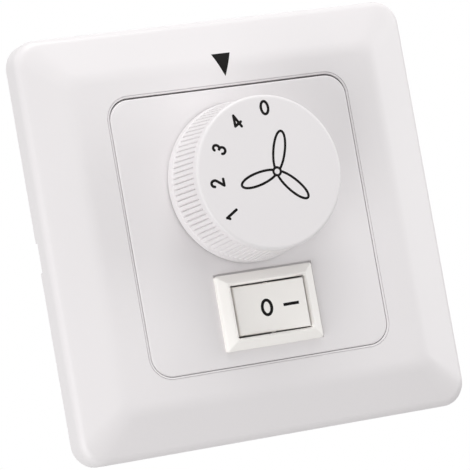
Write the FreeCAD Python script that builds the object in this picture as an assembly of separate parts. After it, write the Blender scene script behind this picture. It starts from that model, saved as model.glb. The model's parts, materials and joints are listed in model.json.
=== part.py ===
import FreeCAD, Part
import math
import os

from FreeCAD import Vector

# Wall-mounted fan speed switch: a square cover frame, a centre panel with a ribbed
# rotary knob and a small rocker switch, and the mechanism that sits in the wall box.
# Millimetres. X to the right, Z up, Y into the wall. The wall is the plane y = 0, so
# everything the user sees has a negative y.

# Cover frame
FRAME_SIZE = 86.0
FRAME_CORNER_R = 5.0
FRAME_SKIRT = 4.3
FRAME_EDGE_R = 2.1
FRAME_EDGE_STEPS = 4
FRAME_SLOPE_DEG = 18.0
FRAME_BROW_R = 10.0
FRAME_BROW_STEPS = 3
FRAME_FLAT_CORNER_R = 2.2
FRAME_FRONT = 8.9
FRAME_WALL = 2.0
FRAME_INNER_CORNER_R = 0.5
LEDGE_WIDTH = 1.6
LEDGE_THICK = 1.5
LEDGE_WEB = 1.7
POST_R = 1.6
POST_OUT = 4.0
PRY_NOTCH_LENGTH = 6.0
PRY_NOTCH_HEIGHT = 1.0

# Centre panel
PANEL_WIDTH = 52.5
PANEL_HEIGHT = 56.3
PANEL_Z = 0.2
PANEL_CORNER_R = 4.4
PANEL_THICK = 2.0
PANEL_EDGE_R = 0.35
PANEL_GAP = 0.3
PANEL_SKIRT_WALL = 1.4
PANEL_SKIRT_GAP = 0.25
PANEL_PLATE_GAP = 2.1
PANEL_BOSS_R = 8.5
PANEL_BOSS_GAP = 1.5
PANEL_RIB = 1.2

# Support plate and its screws
PLATE_INSET = 8.0
PLATE_CORNER_R = 6.0
PLATE_THICK = 1.2
PLATE_FLANGE = 2.4
PLATE_FLANGE_INSET = 2.0
PLATE_WINDOW_GAP = 0.5
PLATE_WINDOW_R = 0.5
BOX_SCREW_SPACING = 60.0
BOX_SLOT_LENGTH = 6.4
BOX_SLOT_R = 2.1
SCREW_R = 1.25
SCREW_HEAD_R = 2.3
SCREW_HEAD_HEIGHT = 1.5
SCREW_LENGTH = 9.0
SCREW_HOLE_DEPTH = 11.0
SCREW_SLOT = 0.6
SCREW_SLOT_DEPTH = 0.7
SCREW_CLEARANCE = 0.15
SCREW_INSET = 4.0
UPPER_SCREW_DEG = 45.0
LOWER_SCREW_DEG = -31.4

# Back housing, whose bore is as wide as the rocker switch's far corner needs
SWITCH_ROOM = 0.8
HOUSING_FLAT_DROP = 1.8
HOUSING_WALL = 1.6
HOUSING_CHAMFER = 1.3
REAR_ROOM = 2.8
BOSS_R = 2.6
BOSS_GAP = 0.3
RIB_WIDTH = 6.0
BOARD_REST = 2.5

# Circuit board and what stands on it
BOARD_CLEARANCE = 0.4
BOARD_THICK = 1.6
BOARD_MARGIN = 0.7
PIN_R = 0.5
PIN_HOLE_GAP = 0.12
PIN_END_GAP = 0.05
LARGE_CAP_WIDTH = 22.0
LARGE_CAP_DEPTH = 15.0
LARGE_CAP_HEIGHT = 9.0
LARGE_CAP_Z = 12.0
SMALL_CAP_WIDTH = 18.0
SMALL_CAP_DEPTH = 12.0
SMALL_CAP_HEIGHT = 7.5
CAP_SPACING = 3.25
CAP_CORNER_R = 1.0
LEAD_R = 0.4
LEAD_INSET = 3.0
LEAD_OUT = 0.3
RESISTOR_R = 1.25
RESISTOR_EDGE_R = 0.5
RESISTOR_LENGTH = 6.5
RESISTOR_SPAN = 10.0
RESISTOR_X = 9.0
RESISTOR_SPACING = 3.5
RESISTOR_LIFT = 0.3

# Terminal block
BLOCK_WIDTH = 16.0
BLOCK_DEPTH = 11.0
BLOCK_HEIGHT = 10.0
BLOCK_INSET = 4.5
BLOCK_GAP = 1.0
BLOCK_FRONT_GAP = 0.4
TERMINAL_PITCH = 5.0
TERMINAL_COUNT = 3
CLAMP_WIDTH = 4.0
CLAMP_HEIGHT = 6.0
CLAMP_LIFT = 0.6
CLAMP_DEPTH = 7.8
CLAMP_GAP = 0.1
CLAMP_PIN_INSET = 1.0
WIRE_DEPTH = 4.6
WIRE_ENTRY_R = 1.8
TERMINAL_SCREW_R = 1.4
TERMINAL_HEAD_R = 1.95
TERMINAL_HEAD_HEIGHT = 1.5
TERMINAL_HEAD_GAP = 0.2
TERMINAL_SCREW_GAP = 0.06

# Rotary selector
KNOB_Z = 8.7
BUSHING_R = 5.0
BUSHING_OUT = 0.3
BUSHING_CHAMFER = 0.4
BUSHING_FLANGE_R = 6.2
BUSHING_FLANGE_THICK = 0.9
BUSHING_GAP = 0.05
THREAD_GAP = 0.03
NUT_FLATS = 13.0
NUT_THICK = 2.2
NUT_CHAMFER = 0.6
WASHER_R = 8.0
WASHER_THICK = 0.8
SHAFT_R = 2.99
SHAFT_BORE_GAP = 0.05
SHAFT_FLAT = 2.0
SHAFT_FACE_GAP = 0.9
SHAFT_TIP_GAP = 0.3
SHAFT_TAIL_R = 2.0
SHAFT_TAIL_OUT = 0.6
GROOVE_R = 2.3
GROOVE_GAP = 0.03
RING_OUTER_R = 4.4
RING_THICK = 0.6
RING_GAP = 0.2
RING_OPENING = 2.6
RING_OPENING_TOP = 1.0
SELECTOR_R = 13.0
SELECTOR_WALL = 1.2
SELECTOR_COVER_THICK = 1.0
SELECTOR_DEPTH = 8.0
EAR_OUT = 1.0
EAR_R = 2.5
EAR_ROOT = 3.0
RIVET_R = 0.9
RIVET_HEAD_R = 1.7
RIVET_HEAD_THICK = 0.6
ROTOR_R = 11.2
ROTOR_GAP = 1.4
ROTOR_THICK = 3.2
ROTOR_HUB_R = 5.5
ROTOR_HUB_RISE = 0.3
STOP_PITCH_DEG = 30.0
DETENT_PLACES = 12
DETENT_TRACK_R = 9.2
DETENT_BALL_R = 1.2
DETENT_DEPTH = 0.3
DETENT_BALL_GAP = 0.05
DETENT_BORE_R = 1.35
DETENT_BORE_DEPTH = 2.7
SPRING_END_GAP = 0.02
DETENT_WIRE_R = 0.13
DETENT_SPRING_GAP = 0.2
DETENT_SPRING_TURNS = 3
WIPER_THICK = 0.4
WIPER_WIDTH = 3.0
WIPER_DIMPLE_R = 0.9
WIPER_TIP_R = 0.45
CONTACT_TRACK_R = 8.0
CONTACT_PAD_R = 1.3
CONTACT_PAD_RISE = 0.25
CONTACT_GAP = 0.1
SPEED_COUNT = 5

# Knob
KNOB_BASE_R = 16.5
KNOB_TAPER = 0.78
KNOB_PANEL_GAP = 0.35
KNOB_FLANGE_HEIGHT = 2.05
KNOB_FLANGE_DRAFT = 0.12
KNOB_HEIGHT = 13.55
KNOB_COLLAR = 2.1
KNOB_RIB_COUNT = 90
KNOB_RIB_DEPTH = 0.28
KNOB_RIB_STEP = 0.18
KNOB_EDGE_R = 1.15
KNOB_WALL = 2.1
KNOB_FACE_THICK = 1.6
KNOB_HUB_R = 5.0
KNOB_HUB_GAP = 0.35
KNOB_WEB = 1.0
KNOB_WEB_COUNT = 6
KNOB_WEB_DEPTH = 4.0
CLIP_THICK = 0.45
CLIP_WIDTH = 3.0
CLIP_GAP = 0.03
CLIP_END_GAP = 0.3
CLIP_OPENING = 3.0
HUB_SLIT = 0.9
HUB_SLIT_RUN = 0.8

# Rocker switch
ROCKER_X = 0.7
ROCKER_Z = -17.2
BEZEL_OFFSET = 0.2
BEZEL_END_FLANGE = 1.1
BEZEL_SIDE_FLANGE = 1.2
BEZEL_CORNER_R = 0.45
BEZEL_EDGE = 0.9
BEZEL_BEVEL = 0.35
BEZEL_RISE = 2.2
BEZEL_LIP = 0.55
BEZEL_LIP_DROP = 0.1
BEZEL_LIP_RUN = 0.25
BEZEL_LIP_R = 0.3
WINDOW_END_GAP = 0.45
WINDOW_SIDE_GAP = 0.55
WINDOW_CORNER_R = 0.25
WINDOW_FLARE = 0.4
WINDOW_FLARE_DEPTH = 0.35
SWITCH_END_GAP = 0.8
SWITCH_SIDE_GAP = 0.6
SWITCH_BODY_DEPTH = 14.1
SWITCH_WALL = 1.1
CUTOUT_GAP = 0.1
WING_OUT = 0.55
WING_HEIGHT = 6.0
WING_LENGTH = 5.0
WING_STEP = 0.6
WING_ROOT = 0.3
WING_GAP = 0.05
PIVOT_RISE = 0.2
PIVOT_R = 0.5
PIVOT_GAP = 0.05
PIVOT_LENGTH = 1.4
PIVOT_END_GAP = 0.15
ROCKER_TILT_DEG = 6.5
BUTTON_HEIGHT = 9.6
BUTTON_END_R = 7.7
BUTTON_TOP = 1.9
BUTTON_SAG = 0.75
BUTTON_EDGE_R = 0.3
BUTTON_WALL = 1.0
BUTTON_END_WALL = 1.6
BUTTON_SKIRT = 3.2
STEM_R = 2.0
STEM_LENGTH = 7.4
STEM_ROOT = 0.6
PLUNGER_R = 1.15
PLUNGER_NOSE_R = 1.05
PLUNGER_GAP = 0.06
PLUNGER_LENGTH = 5.0
PLUNGER_WIRE_R = 0.18
PLUNGER_SPRING_GAP = 0.1
PLUNGER_SPRING_LENGTH = 2.1
PLUNGER_SPRING_TURNS = 3
PLUNGER_BORE_ROOM = 0.1
LEVER_DROP = 11.5
LEVER_TILT_DEG = 6.0
LEVER_THICK = 1.0
LEVER_LENGTH = 11.4
LEVER_WIDTH = 4.0
LEVER_GAP = 0.05
FULCRUM_R = 0.5
FULCRUM_INSET = 0.3
CONTACT_ARM = 4.9
RIVET_CONTACT_R = 1.1
RIVET_CONTACT_RISE = 0.4
FIXED_CONTACT_MARGIN = 0.3
STOP_WIDTH = 2.0
STOP_HEIGHT = 3.0
STOP_GAP = 0.05

# How far a cutter passes the face it opens, how far a joined shape reaches into its
# neighbour, and how near a plane an edge lies that is picked there
CUT = 1.0
JOIN = 0.5
NEAR = 1e-3
UP = Vector(0, 0, 1)
RIGHT = Vector(1, 0, 0)
INTO_WALL = Vector(0, 1, 0)

# Depths as y values, worked out from the sizes above
panel_front = -FRAME_FRONT
panel_back = panel_front + PANEL_THICK
plate_front = -PLATE_THICK
bushing_front = panel_front - WASHER_THICK - NUT_THICK - BUSHING_OUT
ring_front = bushing_front - RING_GAP - RING_THICK
hub_bottom = ring_front - KNOB_HUB_GAP
knob_bottom = panel_front - KNOB_PANEL_GAP
knob_face = knob_bottom - KNOB_HEIGHT
knob_cavity = knob_face + KNOB_FACE_THICK
knob_rib_back = knob_bottom - KNOB_FLANGE_HEIGHT
knob_rib_front = knob_face + KNOB_COLLAR
shaft_front = knob_cavity + SHAFT_FACE_GAP
rotor_front = SELECTOR_COVER_THICK + ROTOR_GAP
rotor_back = rotor_front + ROTOR_THICK
selector_floor_back = SELECTOR_DEPTH
selector_floor_front = selector_floor_back - SELECTOR_WALL
pivot_y = panel_front - PIVOT_RISE
button_top = pivot_y - BUTTON_TOP
switch_back = panel_front + SWITCH_BODY_DEPTH
switch_floor_front = switch_back - SWITCH_WALL
lever_back = pivot_y + LEVER_DROP
lever_front = lever_back - LEVER_THICK
plunger_back = lever_front - LEVER_GAP
plunger_front = plunger_back - PLUNGER_LENGTH
contact_drop = (CONTACT_ARM + RIVET_CONTACT_R) * math.sin(math.radians(LEVER_TILT_DEG))
fixed_contact_front = lever_back + contact_drop + RIVET_CONTACT_RISE + STOP_GAP
board_front = max(selector_floor_back + RIVET_HEAD_THICK, switch_back) + BOARD_CLEARANCE
board_back = board_front + BOARD_THICK
lead_front = board_front - LEAD_OUT
pin_end = board_back - PIN_END_GAP
clamp_front = board_back + CLAMP_LIFT
clamp_back = clamp_front + CLAMP_DEPTH
wire_y = board_back + WIRE_DEPTH
block_back = board_back + BLOCK_DEPTH
housing_floor_front = board_back + max(LARGE_CAP_DEPTH, SMALL_CAP_DEPTH, BLOCK_DEPTH) + REAR_ROOM
housing_back = housing_floor_front + HOUSING_WALL

# Widths, radii and places worked out from the sizes above
window_width = 2 * (BUTTON_END_R + WINDOW_END_GAP)
window_height = BUTTON_HEIGHT + 2 * WINDOW_SIDE_GAP
switch_width = 2 * (BUTTON_END_R + SWITCH_END_GAP + SWITCH_WALL)
switch_height = BUTTON_HEIGHT + 2 * (SWITCH_SIDE_GAP + SWITCH_WALL)
bezel_width = switch_width + 2 * BEZEL_END_FLANGE
bezel_height = switch_height + 2 * BEZEL_SIDE_FLANGE
opening_width = PANEL_WIDTH + 2 * PANEL_GAP
opening_height = PANEL_HEIGHT + 2 * PANEL_GAP
opening_r = PANEL_CORNER_R + PANEL_GAP
plate_size = FRAME_SIZE - 2 * PLATE_INSET
switch_corner_x = abs(ROCKER_X) + switch_width / 2
switch_corner_z = abs(ROCKER_Z) + switch_height / 2
housing_inner_r = math.hypot(switch_corner_x, switch_corner_z) + SWITCH_ROOM
housing_r = housing_inner_r + HOUSING_WALL
housing_flat_x = housing_r - HOUSING_FLAT_DROP
housing_inner_flat = housing_flat_x - HOUSING_WALL
screw_circle_r = housing_r - SCREW_INSET
block_low = -housing_r + BLOCK_INSET
block_z = block_low + BLOCK_HEIGHT / 2
clamp_pin_z = block_z - CLAMP_HEIGHT / 2 + CLAMP_PIN_INSET
small_cap_z = LARGE_CAP_Z - LARGE_CAP_HEIGHT / 2 - CAP_SPACING - SMALL_CAP_HEIGHT / 2
resistor_z = small_cap_z - SMALL_CAP_HEIGHT / 2 - RESISTOR_SPACING - RESISTOR_R
ear_x = SELECTOR_R + EAR_OUT
nut_corner_r = NUT_FLATS / math.sqrt(3)
knob_top_r = KNOB_BASE_R - KNOB_TAPER
contact_x = ROCKER_X + CONTACT_ARM
bezel_x = ROCKER_X - BEZEL_OFFSET


def rounded_wire(width, height, radius, y, x=0.0, z=0.0):
    """Rounded rectangle in the plane at depth y."""
    arcs = []
    for i, (sx, sz) in enumerate([(1, 1), (-1, 1), (-1, -1), (1, -1)]):
        ox = x + sx * (width / 2 - radius)
        oz = z + sz * (height / 2 - radius)
        turn = [math.radians(90 * i + a) for a in (0, 45, 90)]
        arcs.append([Vector(ox + radius * math.cos(a), y, oz + radius * math.sin(a)) for a in turn])
    edges = []
    for i, arc in enumerate(arcs):
        edges.append(Part.Arc(*arc).toShape())
        edges.append(Part.makeLine(arc[2], arcs[(i + 1) % 4][0]))
    return Part.Wire(edges)


def rounded_block(width, height, radius, front, back, x=0.0, z=0.0):
    """Rounded rectangular prism between two depths."""
    face = Part.Face(rounded_wire(width, height, radius, front, x, z))
    return face.extrude(Vector(0, back - front, 0))


def block(width, height, front, back, x=0.0, z=0.0):
    """Plain rectangular prism between two depths, centred on x and z."""
    return Part.makeBox(width, back - front, height, Vector(x - width / 2, front, z - height / 2))


def span_block(low_x, high_x, height, front, back, z=0.0):
    """Plain rectangular prism between two x values and two depths."""
    return block(high_x - low_x, height, front, back, (low_x + high_x) / 2, z)


def disc(radius, front, back, x=0.0, z=0.0):
    """Cylinder along Y between two depths."""
    return Part.makeCylinder(radius, back - front, Vector(x, front, z), INTO_WALL)


def rod(radius, length, start, direction):
    """Cylinder from a point along a direction."""
    return Part.makeCylinder(radius, length, start, direction)


def stack(sections):
    """Solid through rounded rectangles given as (width, height, radius, y, x, z)."""
    return Part.makeLoft([rounded_wire(*s) for s in sections], True, True)


def polygon_face(points):
    """Flat face inside straight edges."""
    return Part.Face(Part.makePolygon(points + points[:1]))


def turned(profile, x=0.0, z=0.0):
    """Solid of revolution about a line along Y from (radius, y) points."""
    face = polygon_face([Vector(x + r, y, z) for r, y in profile])
    return face.revolve(Vector(x, 0, z), INTO_WALL, 360)


def fused(shapes):
    """One solid from touching shapes, with the seams between them removed."""
    return shapes[0].multiFuse(shapes[1:]).removeSplitter()


def cut_all(shape, cutters):
    """A shape with several cutters taken away."""
    for cutter in cutters:
        shape = shape.cut(cutter)
    return shape


def edges_at(shape, y):
    """Edges of a shape that lie in the plane at depth y."""
    return [e for e in shape.Edges
            if abs(e.BoundBox.YMin - y) < NEAR and abs(e.BoundBox.YMax - y) < NEAR]


def slotted(length, radius, front, back, x, z):
    """Slot along X with round ends, for cutting."""
    offset = length / 2 - radius
    middle = block(2 * offset, 2 * radius, front, back, x, z)
    return fused([middle] + [disc(radius, front, back, x + s * offset, z) for s in (-1, 1)])


def hexagon(corner, front, back, x=0.0, z=0.0):
    """Hexagonal prism along Y, with its corners at the given radius."""
    turns = [math.radians(60 * i) for i in range(6)]
    face = polygon_face([Vector(x + corner * math.cos(a), front, z + corner * math.sin(a)) for a in turns])
    return face.extrude(Vector(0, back - front, 0))


def d_bar(radius, flat, front, back, z):
    """Round bar along Y with one flat on its upper side."""
    bar = disc(radius, front, back, 0, z)
    return bar.cut(block(2 * radius, radius, front, back, 0, z + flat + radius / 2))


def around(shape, angle_deg, x=0.0, z=0.0):
    """Copy turned about a line along Y."""
    copy = shape.copy()
    copy.rotate(Vector(x, 0, z), INTO_WALL, angle_deg)
    return copy


def coil(radius, wire_r, front, back, turns, x, z):
    """Coil spring along Y between two depths."""
    height = back - front - 2 * wire_r
    helix = Part.makeHelix(height / turns, height, radius)
    start = Part.Wire(Part.makeCircle(wire_r, Vector(radius, 0, 0), INTO_WALL))
    spring = Part.Wire(helix.Edges).makePipeShell([start], True, True)
    spring.rotate(Vector(0, 0, 0), RIGHT, -90)
    spring.translate(Vector(x, front + wire_r, z))
    return spring


def screw_places():
    """Centres of the four housing screws, on one circle."""
    places = []
    for angle in (UPPER_SCREW_DEG, LOWER_SCREW_DEG):
        a = math.radians(angle)
        places += [(s * screw_circle_r * math.cos(a), screw_circle_r * math.sin(a)) for s in (-1, 1)]
    return places


def terminal_places():
    """Where the terminals stand along X."""
    return [(i - (TERMINAL_COUNT - 1) / 2) * TERMINAL_PITCH for i in range(TERMINAL_COUNT)]


def contact_places():
    """Speed contacts of the selector, one per dial position, from below the axis leftwards."""
    places = []
    for i in range(SPEED_COUNT):
        a = math.radians(180 + i * STOP_PITCH_DEG)
        places.append((CONTACT_TRACK_R * math.sin(a), KNOB_Z + CONTACT_TRACK_R * math.cos(a)))
    return places


def cap_leads(width):
    """Where the leads of a capacitor stand along X."""
    return [s * (width / 2 - LEAD_INSET) for s in (-1, 1)]


def resistor_leads(side):
    """Where the leads of a resistor stand along X."""
    return [side * RESISTOR_X + s * RESISTOR_SPAN / 2 for s in (-1, 1)]


def board_holes():
    """Where contact pins, terminal pins and leads pass through the board."""
    places = [(ROCKER_X, ROCKER_Z), (contact_x, ROCKER_Z)]
    places += contact_places()
    places += [(x, clamp_pin_z) for x in terminal_places()]
    places += [(x, LARGE_CAP_Z) for x in cap_leads(LARGE_CAP_WIDTH)]
    places += [(x, small_cap_z) for x in cap_leads(SMALL_CAP_WIDTH)]
    places += [(x, resistor_z) for side in (-1, 1) for x in resistor_leads(side)]
    return places


def frame_profile():
    """Levels of the frame's outer form as (distance in from the edge, height) pairs."""
    slope = math.radians(FRAME_SLOPE_DEG)
    levels = [(0.0, 0.0), (0.0, FRAME_SKIRT)]
    for i in range(1, FRAME_EDGE_STEPS + 1):
        a = (math.pi / 2 - slope) * i / FRAME_EDGE_STEPS
        levels.append((FRAME_EDGE_R * (1 - math.cos(a)), FRAME_SKIRT + FRAME_EDGE_R * math.sin(a)))
    low_in, low_level = levels[-1]
    crest_in = low_in + (FRAME_FRONT - low_level) / math.tan(slope)
    flat_in = crest_in + FRAME_BROW_R * math.tan(slope / 2)
    for i in range(FRAME_BROW_STEPS + 1):
        a = slope * (1 - i / FRAME_BROW_STEPS)
        levels.append((flat_in - FRAME_BROW_R * math.sin(a), FRAME_FRONT - FRAME_BROW_R * (1 - math.cos(a))))
    return levels


def frame_form(inset):
    """The frame's outer form, moved in by inset."""
    levels = frame_profile()
    flat_in = levels[-1][0]
    sections = []
    for distance, level in levels:
        radius = FRAME_CORNER_R - (FRAME_CORNER_R - FRAME_FLAT_CORNER_R) * distance / flat_in
        size = FRAME_SIZE - 2 * (distance + inset)
        depth = min(-level + inset, 0.0)
        sections.append((size, size, max(radius - inset, FRAME_INNER_CORNER_R), depth, 0, 0))
    return stack(sections)


def make_cover_frame():
    """Cushion-shaped frame: open at the back, with a stepped opening that carries the panel."""
    shell = frame_form(0.0)
    rim = rounded_block(opening_width + 2 * LEDGE_WEB, opening_height + 2 * LEDGE_WEB, opening_r + LEDGE_WEB,
                        panel_back, panel_back + LEDGE_THICK, 0, PANEL_Z)
    posts = []
    for sx in (-1, 1):
        for sz in (-1, 1):
            x = sx * (opening_width / 2 + POST_OUT)
            z = PANEL_Z + sz * (opening_height / 2 + POST_OUT)
            posts.append(disc(POST_R, panel_back - JOIN, plate_front, x, z).common(shell))
    frame = fused([shell.cut(frame_form(FRAME_WALL)), rim] + posts)
    opening = rounded_block(opening_width, opening_height, opening_r, panel_front - CUT, panel_back,
                            0, PANEL_Z)
    ledge = rounded_block(opening_width - 2 * LEDGE_WIDTH, opening_height - 2 * LEDGE_WIDTH,
                          opening_r - LEDGE_WIDTH, panel_front - CUT, 0, 0, PANEL_Z)
    notch = block(2 * (FRAME_WALL + CUT), PRY_NOTCH_LENGTH, -PRY_NOTCH_HEIGHT, CUT, -FRAME_SIZE / 2, 0)
    return cut_all(frame, [opening, ledge, notch])


def make_centre_panel():
    """Flat panel with a stiffening skirt, a ribbed boss for the knob and the rocker cut-out."""
    plate = rounded_block(PANEL_WIDTH, PANEL_HEIGHT, PANEL_CORNER_R, panel_front, panel_back, 0, PANEL_Z)
    plate = plate.makeFillet(PANEL_EDGE_R, edges_at(plate, panel_front))
    inset = LEDGE_WIDTH - PANEL_GAP + PANEL_SKIRT_GAP
    skirt_w = PANEL_WIDTH - 2 * inset
    skirt_h = PANEL_HEIGHT - 2 * inset
    skirt_r = PANEL_CORNER_R - inset
    front = panel_back - JOIN
    skirt_back = plate_front - PANEL_PLATE_GAP
    skirt = rounded_block(skirt_w, skirt_h, skirt_r, front, skirt_back, 0, PANEL_Z)
    skirt = skirt.cut(rounded_block(skirt_w - 2 * PANEL_SKIRT_WALL, skirt_h - 2 * PANEL_SKIRT_WALL,
                                    skirt_r - PANEL_SKIRT_WALL / 2, front - CUT, skirt_back + CUT,
                                    0, PANEL_Z))
    boss_back = plate_front - NUT_THICK - PANEL_BOSS_GAP
    boss = disc(PANEL_BOSS_R, front, boss_back, 0, KNOB_Z)
    rib_low = PANEL_BOSS_R - CUT
    rib_high = skirt_w / 2 - PANEL_SKIRT_WALL / 2
    ribs = [span_block(rib_low, rib_high, PANEL_RIB, front, boss_back, KNOB_Z),
            span_block(-rib_high, -rib_low, PANEL_RIB, front, boss_back, KNOB_Z)]
    panel = fused([plate, skirt, boss] + ribs)
    bore = disc(BUSHING_R + BUSHING_GAP, panel_front - CUT, 0, 0, KNOB_Z)
    window = block(switch_width + 2 * CUTOUT_GAP, switch_height + 2 * CUTOUT_GAP,
                   panel_front - CUT, 0, ROCKER_X, ROCKER_Z)
    return cut_all(panel, [bore, window])


def make_support_plate():
    """Steel plate on the wall, with flanged edges and the slots for the box screws."""
    plate = rounded_block(plate_size, plate_size, PLATE_CORNER_R, plate_front, 0)
    flange_length = plate_size - 2 * (PLATE_CORNER_R + PLATE_FLANGE_INSET)
    flanges = [block(flange_length, PLATE_THICK, plate_front - PLATE_FLANGE, plate_front,
                     0, s * (plate_size - PLATE_THICK) / 2) for s in (-1, 1)]
    front = plate_front - CUT
    cutters = [disc(BUSHING_R + BUSHING_GAP, front, CUT, 0, KNOB_Z)]
    cutters.append(rounded_block(switch_width + 2 * (WING_OUT + PLATE_WINDOW_GAP),
                                 switch_height + 2 * PLATE_WINDOW_GAP, PLATE_WINDOW_R,
                                 front, CUT, ROCKER_X, ROCKER_Z))
    for s in (-1, 1):
        cutters.append(slotted(BOX_SLOT_LENGTH, BOX_SLOT_R, front, CUT, s * BOX_SCREW_SPACING / 2, 0))
    for x, z in screw_places():
        cutters.append(disc(SCREW_R + SCREW_CLEARANCE, front, CUT, x, z))
    return cut_all(fused([plate] + flanges), cutters)


def make_screw(x, z):
    """Slotted pan-head screw through the support plate into the housing."""
    head_front = plate_front - SCREW_HEAD_HEIGHT
    screw = fused([disc(SCREW_HEAD_R, head_front, plate_front, x, z),
                   disc(SCREW_R, plate_front, plate_front + SCREW_LENGTH, x, z)])
    screw = screw.makeFillet(SCREW_HEAD_HEIGHT / 2, edges_at(screw, head_front))
    return screw.cut(block(2 * (SCREW_HEAD_R + CUT), SCREW_SLOT, head_front - CUT,
                           head_front + SCREW_SLOT_DEPTH, x, z))


def housing_form(radius, flat_x, front, back):
    """Round prism with a flat on each side."""
    return disc(radius, front, back).common(block(2 * flat_x, 2 * (radius + CUT), front, back))


def make_back_housing():
    """Round cup behind the plate, with screw bosses and a notch for the terminal block."""
    cup = housing_form(housing_r, housing_flat_x, 0, housing_back)
    cup = cup.makeChamfer(HOUSING_CHAMFER, edges_at(cup, housing_back))
    cup = cup.cut(housing_form(housing_inner_r, housing_inner_flat, -CUT, housing_floor_front))
    within = housing_form(housing_r - HOUSING_WALL / 2, housing_flat_x - HOUSING_WALL / 2, 0, housing_back)
    floor = housing_floor_front + JOIN
    added = [disc(BOSS_R, 0, floor, x, z) for x, z in screw_places()]
    rib_top = housing_inner_r - BOARD_MARGIN - BOARD_REST
    added.append(block(RIB_WIDTH, housing_r - rib_top, board_back, floor, 0, (housing_r + rib_top) / 2))
    rib_side = housing_inner_flat - BOARD_MARGIN - BOARD_REST
    added.append(span_block(rib_side, housing_flat_x, RIB_WIDTH, board_back, floor))
    added.append(span_block(-housing_flat_x, -rib_side, RIB_WIDTH, board_back, floor))
    cup = fused([cup] + [shape.common(within) for shape in added])
    holes = [disc(SCREW_R + THREAD_GAP, -CUT, SCREW_HOLE_DEPTH, x, z) for x, z in screw_places()]
    notch_top = block_z + BLOCK_HEIGHT / 2 + BLOCK_GAP
    notch_low = -housing_r - CUT
    notch = block(BLOCK_WIDTH + 2 * BLOCK_GAP, notch_top - notch_low, board_back + BLOCK_FRONT_GAP,
                  housing_back + CUT, 0, (notch_top + notch_low) / 2)
    return cut_all(cup, holes + [notch])


def make_circuit_board():
    """Board that closes the front of the housing's rear room and carries the parts."""
    board = housing_form(housing_inner_r - BOARD_MARGIN, housing_inner_flat - BOARD_MARGIN,
                         board_front, board_back)
    front = board_front - CUT
    back = board_back + CUT
    holes = [disc(BOSS_R + BOSS_GAP, front, back, x, z) for x, z in screw_places()]
    holes += [disc(PIN_R + PIN_HOLE_GAP, front, back, x, z) for x, z in board_holes()]
    return cut_all(board, holes)


def make_capacitor(width, depth, height, z):
    """Boxed film capacitor standing on the board."""
    body = rounded_block(width, height, CAP_CORNER_R, board_back, board_back + depth, 0, z)
    body = body.makeFillet(CAP_CORNER_R / 2, edges_at(body, board_back + depth))
    return fused([body] + [disc(LEAD_R, lead_front, board_back + JOIN, x, z) for x in cap_leads(width)])


def make_resistor(side):
    """Resistor lying on the board, its leads bent down into it."""
    y = board_back + RESISTOR_LIFT + RESISTOR_R
    low = side * RESISTOR_X - RESISTOR_LENGTH / 2
    body = rod(RESISTOR_R, RESISTOR_LENGTH, Vector(low, y, resistor_z), RIGHT)
    body = body.makeFillet(RESISTOR_EDGE_R, [e for e in body.Edges if e.BoundBox.XLength < NEAR])
    xs = resistor_leads(side)
    axle = rod(LEAD_R, RESISTOR_SPAN, Vector(min(xs), y, resistor_z), RIGHT)
    legs = [disc(LEAD_R, lead_front, y, x, resistor_z) for x in xs]
    knees = [Part.makeSphere(LEAD_R, Vector(x, y, resistor_z)) for x in xs]
    return fused([body, axle] + legs + knees)


def make_terminal_block():
    """Plastic block with a chamber, a wire entry and a screw hole for each terminal."""
    body = block(BLOCK_WIDTH, BLOCK_HEIGHT, board_back, block_back, 0, block_z)
    cutters = []
    for x in terminal_places():
        cutters.append(block(CLAMP_WIDTH + 2 * CLAMP_GAP, CLAMP_HEIGHT + 2 * CLAMP_GAP,
                             board_back - CUT, clamp_back + CLAMP_GAP, x, block_z))
        cutters.append(disc(TERMINAL_HEAD_R + TERMINAL_HEAD_GAP, clamp_back, block_back + CUT, x, block_z))
        cutters.append(rod(WIRE_ENTRY_R, BLOCK_HEIGHT / 2 + CUT, Vector(x, wire_y, block_low - CUT), UP))
    return cut_all(body, cutters)


def make_wire_clamp(x):
    """Brass clamp with its wire hole, screw hole and board pin."""
    body = block(CLAMP_WIDTH, CLAMP_HEIGHT, clamp_front, clamp_back, x, block_z)
    body = fused([body, disc(PIN_R, lead_front, clamp_front + JOIN, x, clamp_pin_z)])
    wire_hole = rod(WIRE_ENTRY_R, CLAMP_HEIGHT + 2 * CUT,
                    Vector(x, wire_y, block_z - CLAMP_HEIGHT / 2 - CUT), UP)
    screw_hole = disc(TERMINAL_SCREW_R + TERMINAL_SCREW_GAP, wire_y, clamp_back + CUT, x, block_z)
    return cut_all(body, [wire_hole, screw_hole])


def make_terminal_screw(x):
    """Slotted terminal screw, reached from behind."""
    seat = clamp_back + TERMINAL_SCREW_GAP
    top = seat + TERMINAL_HEAD_HEIGHT
    screw = fused([disc(TERMINAL_HEAD_R, seat, top, x, block_z),
                   disc(TERMINAL_SCREW_R, wire_y + WIRE_ENTRY_R, seat, x, block_z)])
    return screw.cut(block(2 * (TERMINAL_HEAD_R + CUT), SCREW_SLOT, top - SCREW_SLOT_DEPTH, top + CUT,
                           x, block_z))


def selector_plate(front, back):
    """Round outline of the selector with its two ears."""
    shapes = [disc(SELECTOR_R, front, back, 0, KNOB_Z)]
    for s in (-1, 1):
        shapes.append(disc(EAR_R, front, back, s * ear_x, KNOB_Z))
    root = SELECTOR_R - EAR_ROOT
    shapes.append(span_block(root, ear_x, 2 * EAR_R, front, back, KNOB_Z))
    shapes.append(span_block(-ear_x, -root, 2 * EAR_R, front, back, KNOB_Z))
    return fused(shapes)


def rivet_holes(front, back):
    """Cutters for the two rivets of the selector."""
    return [disc(RIVET_R + THREAD_GAP, front - CUT, back + CUT, s * ear_x, KNOB_Z) for s in (-1, 1)]


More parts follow.
